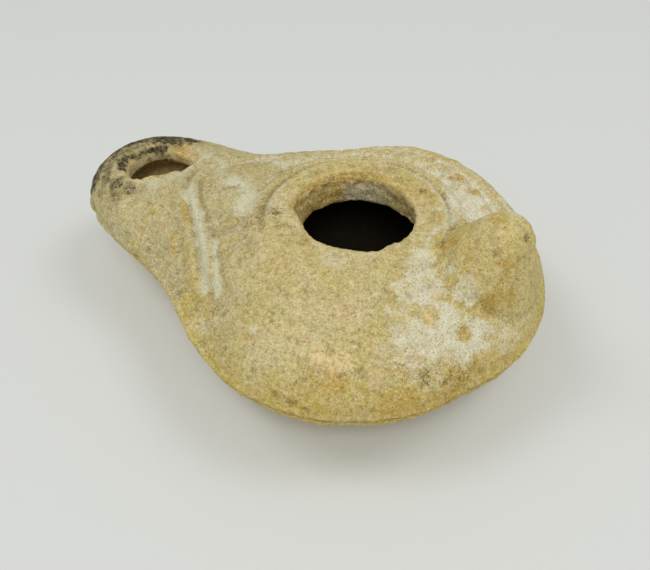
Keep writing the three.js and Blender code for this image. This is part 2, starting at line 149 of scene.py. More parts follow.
UMBER_PATCHES = (
    (-16.3, -4.5, 25.7, 2.4, 0.7), (-15.8, -8, 25.7, 2.4, 0.75),
    (-13.2, -6.1, 26.7, 2, 0.9), (-9.8, -9, 26.6, 2, 0.6),
    (-24.8, -1.6, 24.9, 1.6, 0.8), (-29, -2, 24.4, 3.5, 0.5),
    (-20, -10.5, 24.4, 2.5, 0.5), (-14, -26.5, 19, 3.5, 0.6),
    (-18, -25, 18, 3, 0.5), (-9, -30.5, 18, 5, 0.45),
    (7.7, -26.8, 23.1, 1, 0.6), (11.6, -28.6, 21, 1, 0.8),
    (22.4, -22.4, 19.6, 1.8, 0.95), (20, -23.8, 20.4, 2, 0.6),
    (26.9, -18.2, 17.8, 1.8, 0.8), (27, -18.5, 17, 4, 0.6),
    (28.1, -5.9, 27.8, 1.2, 0.6), (26.4, -8, 24.4, 2.4, 0.6),
    (29.5, -1, 33.6, 1.2, 0.9), (18, 10.2, 25.1, 1.2, 1),
    (7.8, 11.1, 26.7, 1.2, 0.9),
)
SOOT_PATCHES = (
    (-44.6, 8, 23.1, 2.2, 0.85), (-53.4, 3, 22.6, 1.8, 0.9),
    (-51.4, 5.4, 23, 1.9, 0.95), (-49.4, 7, 22.9, 2, 1),
    (-46.9, 7.6, 23.1, 2, 1), (-52.6, -6, 22.8, 2, 0.66),
    (-51.2, -5.6, 23.6, 1.6, 0.72), (-53.2, -9, 20.8, 2.6, 0.55),
    (-49.8, -8.6, 23.2, 2.6, 0.68), (-46.6, -9.4, 23.6, 2.6, 0.72),
    (-50, -10.8, 21.6, 2.4, 0.5), (-43.2, -9.4, 24, 2.4, 0.66),
    (-45.6, -11.6, 22.4, 2.6, 0.55), (-40.8, -8.6, 24, 1.8, 0.4),
)

# Streaks along lines on the lamp's top: half width in millimetres, strength, then points x, y
WHITE_STREAKS = (
    (1.5, 0.95, (-32.5, -5.7), (-29.8, -8.1), (-27.3, -9.8), (-24.9, -12.8), (-22.5, -15.6)),
    (1.3, 0.95, (-22.5, -15.6), (-20.7, -18.2), (-17.6, -22.6)),
    (0.9, 0.95, (-21.4, -13.5), (-19.4, -16.2), (-18.1, -18.0), (-14.4, -23.2)),
    (2.5, 0.95, (-26.1, -0.1), (-22.5, -1.1), (-19.8, -3.2), (-19.4, -6.2)),
    (3.2, 0.4, (-30.4, 2.2), (-24.0, -3.6)),
    (0.7, 0.5, (-14.4, -6.6), (-15.7, -2.2), (-15.6, 2.0)),
    (2.0, 0.6, (-39.6, -7.4), (-37.6, -3.5), (-36.4, 1.5)),
    (1.6, 0.55, (-36.4, -3.5), (-32.0, -4.4)),
    (0.8, 0.7, (-25.6, 8.8), (-20.5, 8.4), (-17.6, 9.6)),
    (1.0, 0.6, (-36.1, 6.6), (-31.0, 4.4)),
    (0.7, 0.8, (15.0, -5.2), (13.8, -1.0), (13.9, 2.5), (15.4, 5.6)),
)
SOOT_STREAKS = (
    (3.0, 1.0, (-43.0, 10.6), (-46.5, 10.0), (-50.1, 8.6), (-53.2, 5.6), (-55.0, 1.0)),
    (2.6, 1.0, (-55.0, 1.0), (-55.4, -2.6), (-55.2, -5.6), (-53.6, -8.6)),
    (1.4, 0.72, (-53.4, 3.4), (-53.8, -0.6), (-52.2, -5.6)),
    (1.1, 1.1, (-48.6, -5.4), (-50.2, -3.4), (-50.4, -1.4)),
    (0.7, 1.1, (-50.0, -1.0), (-49.6, 1.4), (-48.2, 3.8), (-46.2, 5.4)),
    (1.4, 0.9, (-49.4, 6.2), (-45.0, 7.8)),
    (2.4, 0.6, (-51.6, -3.4), (-51.8, 0.8), (-50.0, 4.4), (-46.4, 6.8)),
)
ORANGE_STREAKS = (
    (0.9, 0.85, (-31.7, -8.6), (-30.2, -10.2), (-28.9, -11.4)),
    (0.5, 0.45, (-28.9, -11.4), (-26.6, -14.8), (-24.0, -18.4)),
    (1.8, 0.5, (-37.8, -11.6), (-36.3, -13.0)),
    (0.8, 0.6, (-37.2, -13.6), (-36.6, -15.4)),
    (1.0, 0.6, (-30.0, -14.8), (-28.3, -16.9)),
)


def colour(red, green, blue):
    """A display colour from 0 to 255 as linear red, green, blue and alpha."""
    def linear(value):
        share = value / 255
        return share / 12.92 if share <= 0.04045 else ((share + 0.055) / 1.055) ** 2.4

    return (linear(red), linear(green), linear(blue), 1.0)


class LampSurface(bpy.types.PropertyGroup):
    """How the clay's surface is shaped"""

    face_size: bpy.props.FloatProperty(
        name="Face size", description="Size of the surface's faces",
        default=0.45 * MM, min=0.3 * MM, max=2 * MM, unit="LENGTH")
    softening: bpy.props.IntProperty(
        name="Softening", description="Rounds of smoothing that round off the moulded relief",
        default=3, min=0, max=20)
    inside_share: bpy.props.FloatProperty(
        name="Inside faces kept", description="Share of the faces kept in the hidden hollow",
        default=0.1, min=0.02, max=1.0, subtype="FACTOR")
    lump_height: bpy.props.FloatProperty(
        name="Lump height", description="Height of the broad unevenness left by the hand",
        default=0.2 * MM, min=0.0, unit="LENGTH")
    dent_height: bpy.props.FloatProperty(
        name="Dent height", description="Height of the finer dents and wear",
        default=0.16 * MM, min=0.0, unit="LENGTH")
    grain_height: bpy.props.FloatProperty(
        name="Grain height", description="Height of the sandy grain",
        default=0.11 * MM, min=0.0, unit="LENGTH")
    pit_count: bpy.props.IntProperty(
        name="Pits", description="Number of small pits all over the clay", default=900, min=0)
    pit_depth: bpy.props.FloatProperty(
        name="Pit depth", description="Depth of the deepest pit",
        default=0.32 * MM, min=0.0, unit="LENGTH")
    groove_depth: bpy.props.FloatProperty(
        name="Groove depth", description="How far the lines between the mouldings are cut in",
        default=0.3 * MM, min=0.0, unit="LENGTH")
    seed: bpy.props.IntProperty(
        name="Seed", description="Picks the places of pits and lumps", default=7)


class LampFinish(bpy.types.PropertyGroup):
    """The clay's colours"""

    clay: bpy.props.FloatVectorProperty(
        name="Clay", description="The buff body colour",
        default=colour(218, 199, 129), size=4, min=0.0, max=1.0, subtype="COLOR")
    pale_clay: bpy.props.FloatVectorProperty(
        name="Pale clay", description="Lighter, sandier areas",
        default=colour(231, 216, 160), size=4, min=0.0, max=1.0, subtype="COLOR")
    tan: bpy.props.FloatVectorProperty(
        name="Tan", description="Pinkish areas of the clay",
        default=colour(222, 190, 134), size=4, min=0.0, max=1.0, subtype="COLOR")
    grey_clay: bpy.props.FloatVectorProperty(
        name="Grey clay", description="Greyer clay of the neck and nozzle",
        default=colour(199, 188, 142), size=4, min=0.0, max=1.0, subtype="COLOR")
    olive: bpy.props.FloatVectorProperty(
        name="Olive", description="Greenish mottling",
        default=colour(180, 170, 108), size=4, min=0.0, max=1.0, subtype="COLOR")
    # This colour paints soil and sand grains, and also painted shade in recesses, creases, grain hollows
    # and below the seam, and painted shadow lines.
    dirt_and_shade: bpy.props.FloatVectorProperty(
        name="Dirt", description="Soil left in the recesses",
        default=colour(138, 108, 40), size=4, min=0.0, max=1.0, subtype="COLOR")
    # This colour also serves as painted light in the nozzle's chamber.
    gold: bpy.props.FloatVectorProperty(
        name="Gold", description="Deeper yellow of the lower wall and the handle",
        default=colour(228, 202, 104), size=4, min=0.0, max=1.0, subtype="COLOR")
    ochre: bpy.props.FloatVectorProperty(
        name="Ochre", description="Iron-stained patches",
        default=colour(208, 172, 76), size=4, min=0.0, max=1.0, subtype="COLOR")
    # This colour also serves as painted light in the nozzle's chamber.
    peach: bpy.props.FloatVectorProperty(
        name="Peach", description="Rubbed patches",
        default=colour(250, 222, 158), size=4, min=0.0, max=1.0, subtype="COLOR")
    cream: bpy.props.FloatVectorProperty(
        name="Cream", description="Light grains of sand",
        default=colour(250, 241, 202), size=4, min=0.0, max=1.0, subtype="COLOR")
    umber: bpy.props.FloatVectorProperty(
        name="Umber", description="Dark brown specks and pits",
        default=colour(104, 86, 36), size=4, min=0.0, max=1.0, subtype="COLOR")
    chalk: bpy.props.FloatVectorProperty(
        name="Chalk", description="White deposit from the soil",
        default=colour(248, 248, 226), size=4, min=0.0, max=1.0, subtype="COLOR")
    # This colour paints the whitish film, and also the painted highlight line on the rim's far edge.
    wash_and_highlight: bpy.props.FloatVectorProperty(
        name="White wash", description="Thin whitish film along the mouldings",
        default=colour(232, 230, 198), size=4, min=0.0, max=1.0, subtype="COLOR")
    # This colour paints soot, and also the painted shadow line at the foot of the wick hole's far wall.
    soot_and_shadow: bpy.props.FloatVectorProperty(
        name="Soot", description="Soot round the wick hole",
        default=colour(26, 27, 26), size=4, min=0.0, max=1.0, subtype="COLOR")
    # This near-black colour is painted shade in the oil chamber.
    hollow_shade: bpy.props.FloatVectorProperty(
        name="Residue", description="Dark residue in the oil chamber",
        default=colour(14, 12, 9), size=4, min=0.0, max=1.0, subtype="COLOR")
    roughness: bpy.props.FloatProperty(
        name="Roughness", description="Roughness of the dry clay",
        default=0.95, min=0.0, max=1.0, subtype="FACTOR")
    grain_bump: bpy.props.FloatProperty(
        name="Grain bump", description="Depth of the finest grain",
        default=0.45 * MM, min=0.0, unit="LENGTH")


class LampStage(bpy.types.PropertyGroup):
    """The table and the light"""

    table_colour: bpy.props.FloatVectorProperty(
        name="Table", description="Colour of the pale table",
        default=colour(219, 221, 217), size=4, min=0.0, max=1.0, subtype="COLOR")
    table_size: bpy.props.FloatProperty(
        name="Table size", description="Side of the square table", default=12.0, min=0.5, unit="LENGTH")
    sky_strength: bpy.props.FloatProperty(
        name="Room light", description="Strength of the even light from all round",
        default=0.43, min=0.0)
    left_power: bpy.props.FloatProperty(
        name="Left light", description="Power of the softbox on the left", default=1.45, min=0.0)
    right_power: bpy.props.FloatProperty(
        name="Right light", description="Power of the softbox on the right", default=1.35, min=0.0)
    front_power: bpy.props.FloatProperty(
        name="Front light", description="Power of the softbox in front", default=2.5, min=0.0)


def smooth(start, end, value):
    """0 before the start, 1 past the end and a soft rise between, also where the end is the lower."""
    share = np.clip((value - start) / (end - start), 0, 1)
    return share * share * (3 - 2 * share)


def zone(limits, *values):
    """1 well within a zone that sets in softly between each pair of limits of its value."""
    share = 1.0
    for pair, value in zip(limits, values):
        share = share * smooth(*pair, value)
    return share


def bump(distance, half_width):
    """1 in the middle of a rounded ridge, and 0 beyond its half width."""
    near = np.abs(distance) < half_width
    return np.where(near, np.cos(np.clip(distance / half_width, -1, 1) * math.pi / 2) ** 2, 0)


def highest(*shares):
    """The highest of several shares at each point."""
    return np.maximum.reduce(shares)


def rough(points, size, seed, detail=1):
    """Noise from about -1 to 1 at each point, with lumps of the given size in millimetres."""
    shifted = points / size + np.array((seed * 17.3, seed * -9.1, seed * 5.7))
    if detail == 1:
        return np.array([noise.noise(p) for p in shifted])
    return np.array([noise.fractal(p, 1.0, 2.0, detail) for p in shifted])


def add_object(name, mesh):
    piece = bpy.data.objects.new(name, mesh)
    bpy.context.collection.objects.link(piece)
    return piece


def apply_modifiers(piece):
    graph = bpy.context.evaluated_depsgraph_get()
    shaped = bpy.data.meshes.new_from_object(piece.evaluated_get(graph))
    piece.modifiers.clear()
    old = piece.data
    piece.data = shaped
    bpy.data.meshes.remove(old)


def even_copy(node, name, face_size):
    """A copy of a CAD node as one closed mesh of small even faces."""
    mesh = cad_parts[node].data.copy()
    mesh.materials.clear()
    edit = bmesh.new()
    edit.from_mesh(mesh)
    bmesh.ops.remove_doubles(edit, verts=edit.verts, dist=MM / 1000)
    edit.to_mesh(mesh)
    edit.free()
    piece = add_object(name, mesh)
    remesh = piece.modifiers.new("even faces", "REMESH")
    remesh.mode = "VOXEL"
    remesh.voxel_size = face_size
    apply_modifiers(piece)
    return piece


# The filling hole's edge, in millimetres
FILL_EDGE_BOTTOM = 23
FILL_EDGE_RADIUS = 10.8
FILL_EDGE_HALF_WIDTH = 1.8


def hole_edge(place):
    """True for a point at the filling hole's edge, which stays sharper."""
    off = abs(math.hypot(place.x, place.y) - FILL_EDGE_RADIUS * MM)
    return place.z > FILL_EDGE_BOTTOM * MM and off < FILL_EDGE_HALF_WIDTH * MM


def soften(piece, rounds):
    """Rounds off the moulded relief, but the filling hole's edge in the first round only."""
    edit = bmesh.new()
    edit.from_mesh(piece.data)
    blunt = [vert for vert in edit.verts if not hole_edge(vert.co)]
    for i in range(rounds):
        chosen = edit.verts if i == 0 else blunt
        bmesh.ops.smooth_vert(
            edit, verts=chosen, factor=0.5, use_axis_x=True, use_axis_y=True, use_axis_z=True)
    edit.to_mesh(piece.data)
    edit.free()


def places(mesh):
    """The mesh's points, in millimetres."""
    flat = np.empty(len(mesh.vertices) * 3)
    mesh.vertices.foreach_get("co", flat)
    return flat.reshape(-1, 3) / MM


def directions(mesh):
    """The way the surface faces at each point."""
    flat = np.empty(len(mesh.vertices) * 3)
    mesh.vertices.foreach_get("normal", flat)
    return flat.reshape(-1, 3)


def seam_height(points):
    """Height of the seam between the halves, which climbs towards the nozzle."""
    return SEAM_HEIGHT + NOZZLE_SEAM_RISE * smooth(0, NOZZLE_END, -points[:, 0])


# The hollow, in millimetres, and how steep a face may be to count as floor or ceiling
HOLLOW_MARGIN = 2.6
NECK_HOLLOW_RADIUS = 12.6
HOLLOW_MIDDLE = 15
HOLLOW_WALL = (4, 19.3)
HOLLOW_TOP = 22.0
LEVEL_SHARE = 0.2


def inside_hollow(points, normals):
    """1 for the faces of the hollow, which the holes show only in part."""
    x, y, z = points.T
    body = np.hypot(x, y)
    neck = np.where((x < 0) & (x > NOZZLE_CENTRE.x), np.abs(y), np.hypot(x - NOZZLE_CENTRE.x, y))
    near_axis = np.minimum(body / (BODY_RADIUS - HOLLOW_MARGIN), neck / NECK_HOLLOW_RADIUS)
    towards = normals[:, 0] * x + normals[:, 1] * y
    ceiling = (normals[:, 2] < -LEVEL_SHARE) & (z > HOLLOW_MIDDLE)
    floor = (normals[:, 2] > LEVEL_SHARE) & (z < HOLLOW_MIDDLE)
    wall = (towards < 0) & (z < HOLLOW_WALL[1]) & (z > HOLLOW_WALL[0])
    return (ceiling | floor | wall) & (near_axis < 1) & (z < HOLLOW_TOP)


def thin_inside(piece, share):
    """Leaves only a share of the faces in the hollow."""
    mesh = piece.data
    hidden = inside_hollow(places(mesh), directions(mesh))
    group = piece.vertex_groups.new(name="hollow")
    group.add(np.nonzero(hidden)[0].tolist(), 1.0, "REPLACE")
    thin = piece.modifiers.new("coarser hollow", "DECIMATE")
    thin.vertex_group = group.name
    thin.ratio = 1 - hidden.mean() * (1 - share)
    apply_modifiers(piece)
    piece.vertex_groups.clear()


# Where the handle ends, as a share of its plan, and the heights of its foot in millimetres
HANDLE_EDGE = (0.85, 1.1)
HANDLE_FOOT = (19, 22)


def handle_share(points):
    """How far each point belongs to the handle, from 0 to 1."""
    x, y, z = points.T
    plan = np.hypot((x - HANDLE_MIDDLE) / HANDLE_HALF_LENGTH, y / HANDLE_HALF_WIDTH)
    return (1 - smooth(*HANDLE_EDGE, plan)) * smooth(*HANDLE_FOOT, z)


# Where the shoulder's marks set in and fade: heights, places and radii in millimetres, the rubbed near
# side in shares of the body's radius, and the band's opening at the nozzle in radians
SHOULDER_FOOT = (17.5, 20.0)
SHOULDER_REACH = BODY_RADIUS + 4
FADED = ((-12, -24), (0, -5))
FADED_SHARE = 0.75
RUBBED = ((0.1, 0.6), (-0.7, -0.3))
RUBBED_SHARE = 0.92
BAND_START = (RING_RADIUS + 0.9, RING_RADIUS + 1.6)
BAND_END = (-1.2, -0.6)
BAND_OPENING = 0.35
LEAF_FULLNESS = 0.62
LEAF_SLOPE = 2.2


def leaf_strokes(x, y):
    """1 on the slanting leaf strokes, with a short slope at their edges."""
    leaf = np.zeros(len(x))
    middle = (RING_RADIUS + BORDER_INNER_RADIUS) / 2
    for i in range(LEAF_COUNT):
        share = i / (LEAF_COUNT - 1)
        turn = FIRST_LEAF[0] + (LAST_LEAF[0] - FIRST_LEAF[0]) * share
        slant = FIRST_LEAF[1] + (LAST_LEAF[1] - FIRST_LEAF[1]) * share
        for side in (-1, 1):
            centre = np.array((-middle * math.cos(turn), side * middle * math.sin(turn)))
            heading = math.atan2(centre[1], centre[0]) - side * slant
            along = (x - centre[0]) * math.cos(heading) + (y - centre[1]) * math.sin(heading)
            across = -(x - centre[0]) * math.sin(heading) + (y - centre[1]) * math.cos(heading)
            stroke = np.hypot(along / LEAF_HALF_LENGTH, across / (LEAF_WIDTH * LEAF_FULLNESS))
            leaf = np.maximum(leaf, 1 - stroke)
    return np.clip(leaf * LEAF_SLOPE, 0, 1)


def shoulder_marks(points):
    """Shares of ridge, groove, leaf and leaf band at each point of the moulded shoulder."""
    x, y, z = points.T
    radius = np.hypot(x, y)
    angle = np.arctan2(np.abs(y), -x)
    shifted = radius - BORDER_BULGE * np.exp(-((angle / BORDER_BULGE_SPREAD) ** 2))
    on_top = smooth(*SHOULDER_FOOT, z) * (radius < SHOULDER_REACH)
    middle = (BORDER_RADIUS + BORDER_INNER_RADIUS) / 2
    faded = zone(FADED, x, y)
    outer_groove = bump(shifted - BORDER_RADIUS - GROOVE_OFFSET, GROOVE_HALF_WIDTH)
    groove = bump(shifted - middle, GROOVE_HALF_WIDTH) + outer_groove * (1 - FADED_SHARE * faded)
    groove += bump(shifted - BORDER_INNER_RADIUS + GROOVE_OFFSET, GROOVE_HALF_WIDTH)
    rim_foot = bump(radius - (RIM_OUTER_RADIUS + RIM_FOOT_OFFSET), RIM_FOOT_HALF_WIDTH)
    groove += rim_foot + bump(radius - RING_RADIUS - GROOVE_OFFSET, RIDGE_HALF_WIDTH)
    outer_ridge = bump(shifted - BORDER_RADIUS, RIDGE_HALF_WIDTH)
    ridge = outer_ridge + bump(shifted - BORDER_INNER_RADIUS, RIDGE_HALF_WIDTH)
    ridge += bump(radius - RING_RADIUS, RIDGE_HALF_WIDTH)
    band = smooth(*BAND_START, radius) * (1 - smooth(*BAND_END, shifted - BORDER_INNER_RADIUS))
    band *= angle > BAND_OPENING
    rubbed = zone(RUBBED, -y / BODY_RADIUS, x / BODY_RADIUS)
    kept = on_top * (1 - RUBBED_SHARE * rubbed) * (1 - handle_share(points))
    return ridge * kept, groove * kept, leaf_strokes(x, y) * band * kept, band * kept


# The scattered pits: reach in millimetres, share of the small ones, and share of the full depth
SMALL_PIT_REACH = (0.3, 0.6)
LARGE_PIT_REACH = (0.7, 1.1)
SMALL_PIT_SHARE = 0.96
PIT_DEPTH_SHARE = (0.3, 1.0)


def scatter_pits(points, surface, rng):
    """Depth of the scattered pits at each point, from 0 to 1."""
    tree = kdtree.KDTree(len(points))
    for i, point in enumerate(points):
        tree.insert(point, i)
    tree.balance()
    depth = np.zeros(len(points))
    for _ in range(surface.pit_count):
        centre = points[rng.randrange(len(points))]
        small = rng.random() < SMALL_PIT_SHARE
        reach = rng.uniform(*(SMALL_PIT_REACH if small else LARGE_PIT_REACH))
        deep = rng.uniform(*PIT_DEPTH_SHARE)
        for _, index, distance in tree.find_range(centre, reach):
            depth[index] = max(depth[index], deep * (1 - (distance / reach) ** 2))
    return depth


# The ragged edges of patches, streaks and dents: size of the raggedness in millimetres, and where the
# edge sets in and ends, in shares of the reach or half width
PATCH_RAG_SIZE = 2.6
PATCH_EDGE = (0.35, 1.15)
STREAK_RAG_SIZE = 1.8
STREAK_EDGE = (0.1, 1.3)
STREAK_BOTTOM = (17.0, 18.5)
DENT_EDGE = (0.2, 1.0)


def patches(points, rows, seed, ragged=0.55):
    """How strongly each point lies in one of the rows' patches, with ragged edges."""
    wander = rough(points, PATCH_RAG_SIZE, seed, 3) * ragged
    found = np.zeros(len(points))
    for x, y, z, reach, strength in rows:
        distance = np.linalg.norm(points - np.array((x, y, z)), axis=1) / reach
        found = np.maximum(found, strength * (1 - smooth(*PATCH_EDGE, distance + wander)))
    return found


def streaks(points, rows, seed, ragged=0.45):
    """How strongly each point lies on one of the rows' lines, seen from above."""
    wander = rough(points, STREAK_RAG_SIZE, seed, 3) * ragged
    found = np.zeros(len(points))
    for half_width, strength, *line in rows:
        nearest = np.full(len(points), np.inf)
        for first, last in zip(line, line[1:]):
            first, run = np.array(first), np.array(last) - np.array(first)
            share = np.clip((points[:, :2] - first) @ run / (run @ run), 0, 1)
            off_line = points[:, :2] - first - share[:, None] * run
            nearest = np.minimum(nearest, np.linalg.norm(off_line, axis=1))
        found = np.maximum(found, strength * (1 - smooth(*STREAK_EDGE, nearest / half_width + wander)))
    return found * smooth(*STREAK_BOTTOM, points[:, 2])


def dents(points):
    """Depth of the single dents in millimetres."""
    depth = np.zeros(len(points))
    for x, y, z, reach, deep in DENTS:
        distance = np.linalg.norm(points - np.array((x, y, z)), axis=1)
        depth = np.maximum(depth, deep * (1 - smooth(*DENT_EDGE, distance / reach)))
    return depth


def recesses(mesh, points, normals, rounds=10):
    """How far each point lies below the smoothed surface round it, in millimetres."""
    edges = np.empty(len(mesh.edges) * 2, dtype=np.int64)
    mesh.edges.foreach_get("vertices", edges)
    a, b = edges.reshape(-1, 2).T
    count = np.bincount(np.concatenate((a, b)), minlength=len(points))[:, None]
    flat = points.copy()
    for _ in range(rounds):
        total = np.zeros_like(flat)
        for axis in range(3):
            total[:, axis] = np.bincount(a, flat[b, axis], len(points))
            total[:, axis] += np.bincount(b, flat[a, axis], len(points))
        flat = total / count
    return ((flat - points) * normals).sum(axis=1)


# The walls of the two holes: distances from the edge or the axis, and heights, in millimetres
WICK_WALL_EDGE = (0.6, 2.2)
WICK_WALL_FOOT = (18.0, 19.5)
FILL_WALL_EDGE = (10.3, 11.2)
FILL_WALL_FOOT = (18.5, 19.5)
FILL_WALL_TOP = (25.0, 26.2)
WEAR_FOOT = (18.0, 20.0)
WEAR_RISE = (21.5, 25.5)
WEAR_EDGE = (10.8, 13.0)

# The filling hole's worn bevel: its bearings in degrees, then its radius and height in millimetres
BEVEL = ((70, 100), (215, 190), (12.3, 11.8), (24.3, 25.0))


def wick_rim(points):
    """Distance from the wick hole's edge in plan, negative inside the hole."""
    across = points[:, :2] - np.array(WICK_HOLE)
    straight = across @ np.array((math.cos(WICK_EDGE_BEARING), math.sin(WICK_EDGE_BEARING)))
    rounded = np.hypot(across[:, 0], across[:, 1]) - WICK_HOLE_RADIUS
    return np.maximum(rounded, straight - WICK_EDGE_REACH)


def wick_wall(points):
    """1 on the walls of the wick hole and its funnel."""
    return (1 - smooth(*WICK_WALL_EDGE, wick_rim(points))) * smooth(*WICK_WALL_FOOT, points[:, 2])


def fill_hole_shift(points):
    """How far the filling hole's worn wall stands towards the hole's middle, in millimetres."""
    x, y, z = points.T
    bearing = np.degrees(np.arctan2(y, x))
    height = smooth(*WEAR_RISE, z)
    shift = np.zeros(len(points))
    for at, spread, edge, foot in FILL_HOLE_WEAR:
        off = (bearing - at + 180) % 360 - 180
        shift += (foot + (edge - foot) * height) * np.exp(-((off / spread) ** 2))
    return shift * smooth(*WEAR_FOOT, z) * (1 - smooth(*WEAR_EDGE, np.hypot(x, y)))


def worn_bevel(points):
    """1 on the filling hole's worn bevel, on its far side and towards the neck."""
    x, y, z = points.T
    bearing = np.degrees(np.arctan2(y, x)) % 360
    return zone(BEVEL, bearing, bearing, np.hypot(x, y), z)


def fill_wall(points):
    """1 on the rough wall of the filling hole."""
    x, y, z = points.T
    beyond = smooth(*FILL_WALL_EDGE, np.hypot(x, y))
    return (1 - beyond) * smooth(*FILL_WALL_FOOT, z) * (1 - smooth(*FILL_WALL_TOP, z))


# The size of each unevenness, in millimetres
LUMP_SIZE = 13.0
DENT_SIZE = 4.2
GRAIN_SIZE = 1.5
HANDLE_LAYER_SIZE = 1.6
HANDLE_LAYER_STRETCH = (0.5, 0.5, 1.5)
WALL_CRUMB_SIZE = 1.4
EDGE_CHIP_SIZE = 1.3

# How far the surface is moved, in millimetres
HANDLE_LAYER_HEIGHT = 0.12
WALL_CRUMB_HEIGHT = 0.3
EDGE_CHIP_HEIGHT = 0.22
RIDGE_HEIGHT = 0.14
LEAF_HEIGHT = 0.42
LEAF_WEAR = 0.14
BAND_DEPTH = 0.26
SEAM_RELIEF = 0.3
CORNER_HEIGHT = 0.35
BEVEL_DEPTH = 0.25

# Where it is moved, in millimetres
CRISP_ALONG = (0, 9)
CRISP_ACROSS = (-1, -7)
OUTER_RADIUS = BODY_RADIUS - 3
NOZZLE_START = -30
SEAM_HALF_WIDTH = 0.8
SEAM_RIDGE_OFFSET = 0.3
SEAM_GROOVE_OFFSET = 1.0
FILL_CHIP_OFFSET = 0.2
FILL_CHIP_HALF_WIDTH = 1.3
WICK_CHIP_OFFSET = 0.3
WICK_CHIP_HALF_WIDTH = 1.2
WICK_CHIP_BOTTOM = 21
CORNER_INSET = 0.45
CORNER_HALF_WIDTH = 0.9
STANDING_RIM = (0.3, 1.2)

# A dent in the list stains this many times as much as a pit
DENT_STAIN = 1.6


def unevenness(points, surface):
    """How far the hand, the wear and the sand lift each point, in millimetres."""
    seed = surface.seed
    move = surface.lump_height / MM * rough(points, LUMP_SIZE, seed)
    move += surface.dent_height / MM * rough(points, DENT_SIZE, seed + 1, 2)
    move += surface.grain_height / MM * rough(points, GRAIN_SIZE, seed + 2, 2)
    layers = rough(points * np.array(HANDLE_LAYER_STRETCH), HANDLE_LAYER_SIZE, seed + 4, 2)
    move += HANDLE_LAYER_HEIGHT * handle_share(points) * layers
    move += WALL_CRUMB_HEIGHT * fill_wall(points) * rough(points, WALL_CRUMB_SIZE, seed + 5, 2)
    return move


def seam_relief(points):
    """The seam's ridge and the line below it, on the outside only, in millimetres."""
    above_seam = points[:, 2] - seam_height(points)
    outer = np.hypot(points[:, 0], points[:, 1]) > OUTER_RADIUS
    outer |= points[:, 0] < NOZZLE_START
    ridge = SEAM_RELIEF * bump(above_seam - SEAM_RIDGE_OFFSET, SEAM_HALF_WIDTH)
    line = SEAM_RELIEF * bump(above_seam + SEAM_GROOVE_OFFSET, SEAM_HALF_WIDTH)
    return np.where(outer, ridge - line, 0)


def hole_edges(points, surface):
    """The chipped edges of the two holes and the filling hole's corner, in millimetres."""
    radius = np.hypot(points[:, 0], points[:, 1])
    height = points[:, 2]
    edge = bump(radius - FILL_HOLE_RADIUS - FILL_CHIP_OFFSET, FILL_CHIP_HALF_WIDTH)
    edge = edge * (height > FILL_EDGE_BOTTOM)
    wick_edge = bump(wick_rim(points) - WICK_CHIP_OFFSET, WICK_CHIP_HALF_WIDTH)
    edge = np.maximum(edge, wick_edge * (height > WICK_CHIP_BOTTOM))
    chips = edge * EDGE_CHIP_HEIGHT * rough(points, EDGE_CHIP_SIZE, surface.seed + 3, 2)
    corner = np.hypot(radius - FILL_HOLE_RADIUS - CORNER_INSET, height - RIM_TOP + CORNER_INSET)
    bevel = worn_bevel(points)
    sharper = CORNER_HEIGHT * bump(corner, CORNER_HALF_WIDTH) * (1 - bevel)
    return chips, sharper, BEVEL_DEPTH * bevel


def carve(piece, surface):
    """Moves the points of the even mesh to make the lamp's relief, wear and pits. Returns the pits."""
    mesh = piece.data
    points = places(mesh)
    normals = directions(mesh)
    rng = random.Random(surface.seed)
    ridge, groove, leaf, band = shoulder_marks(points)
    pits = scatter_pits(points, surface, rng)
    single = dents(points)
    move = unevenness(points, surface)
    move -= surface.groove_depth / MM * groove
    crisp = np.maximum(smooth(*CRISP_ALONG, points[:, 0]), smooth(*CRISP_ACROSS, points[:, 1]))
    ground = BAND_DEPTH * crisp * band * (1 - leaf)
    move += RIDGE_HEIGHT * ridge + (LEAF_HEIGHT * crisp - LEAF_WEAR) * leaf - ground
    move -= surface.pit_depth / MM * pits + single
    move += seam_relief(points)
    chips, sharper, bevel = hole_edges(points, surface)
    move += chips
    move += sharper
    move -= bevel
    underside = 1 - smooth(*STANDING_RIM, points[:, 2])
    move *= 1 - underside
    shift = fill_hole_shift(points)
    outwards = points[:, :2] / np.maximum(np.hypot(points[:, 0], points[:, 1]), 1)[:, None]
    points[:, :2] -= outwards * shift[:, None]
    points += normals * move[:, None]
    points[:, 2] = np.maximum(points[:, 2], 0)
    mesh.vertices.foreach_set("co", (points * MM).ravel())
    mesh.update()
    return np.maximum(pits, DENT_STAIN * single)


def store(mesh, name, values):
    """Keeps one share from 0 to 1 for each point, for the material."""
    layer = mesh.attributes.new(name, "FLOAT", "POINT")
    layer.data.foreach_set("value", np.clip(values, 0, 1).astype(np.float32))


# Zones of the lamp that are stained alike, and the nozzle's chamber, which is lit with painted light:
# places, heights and radii in millimetres
FAR_HALF = (-4, 6)
NEAR_NECK = ((-11, -16), (5, -2))
# Where the nozzle's chamber starts; its inside is lit with painted light
CHAMBER_START = (-24, -29)
FAR_RIM_RADIUS = RIM_OUTER_RADIUS + 0.6
FAR_RIM_BOTTOM = 20
FAR_RIM_ACROSS = (2, 7)


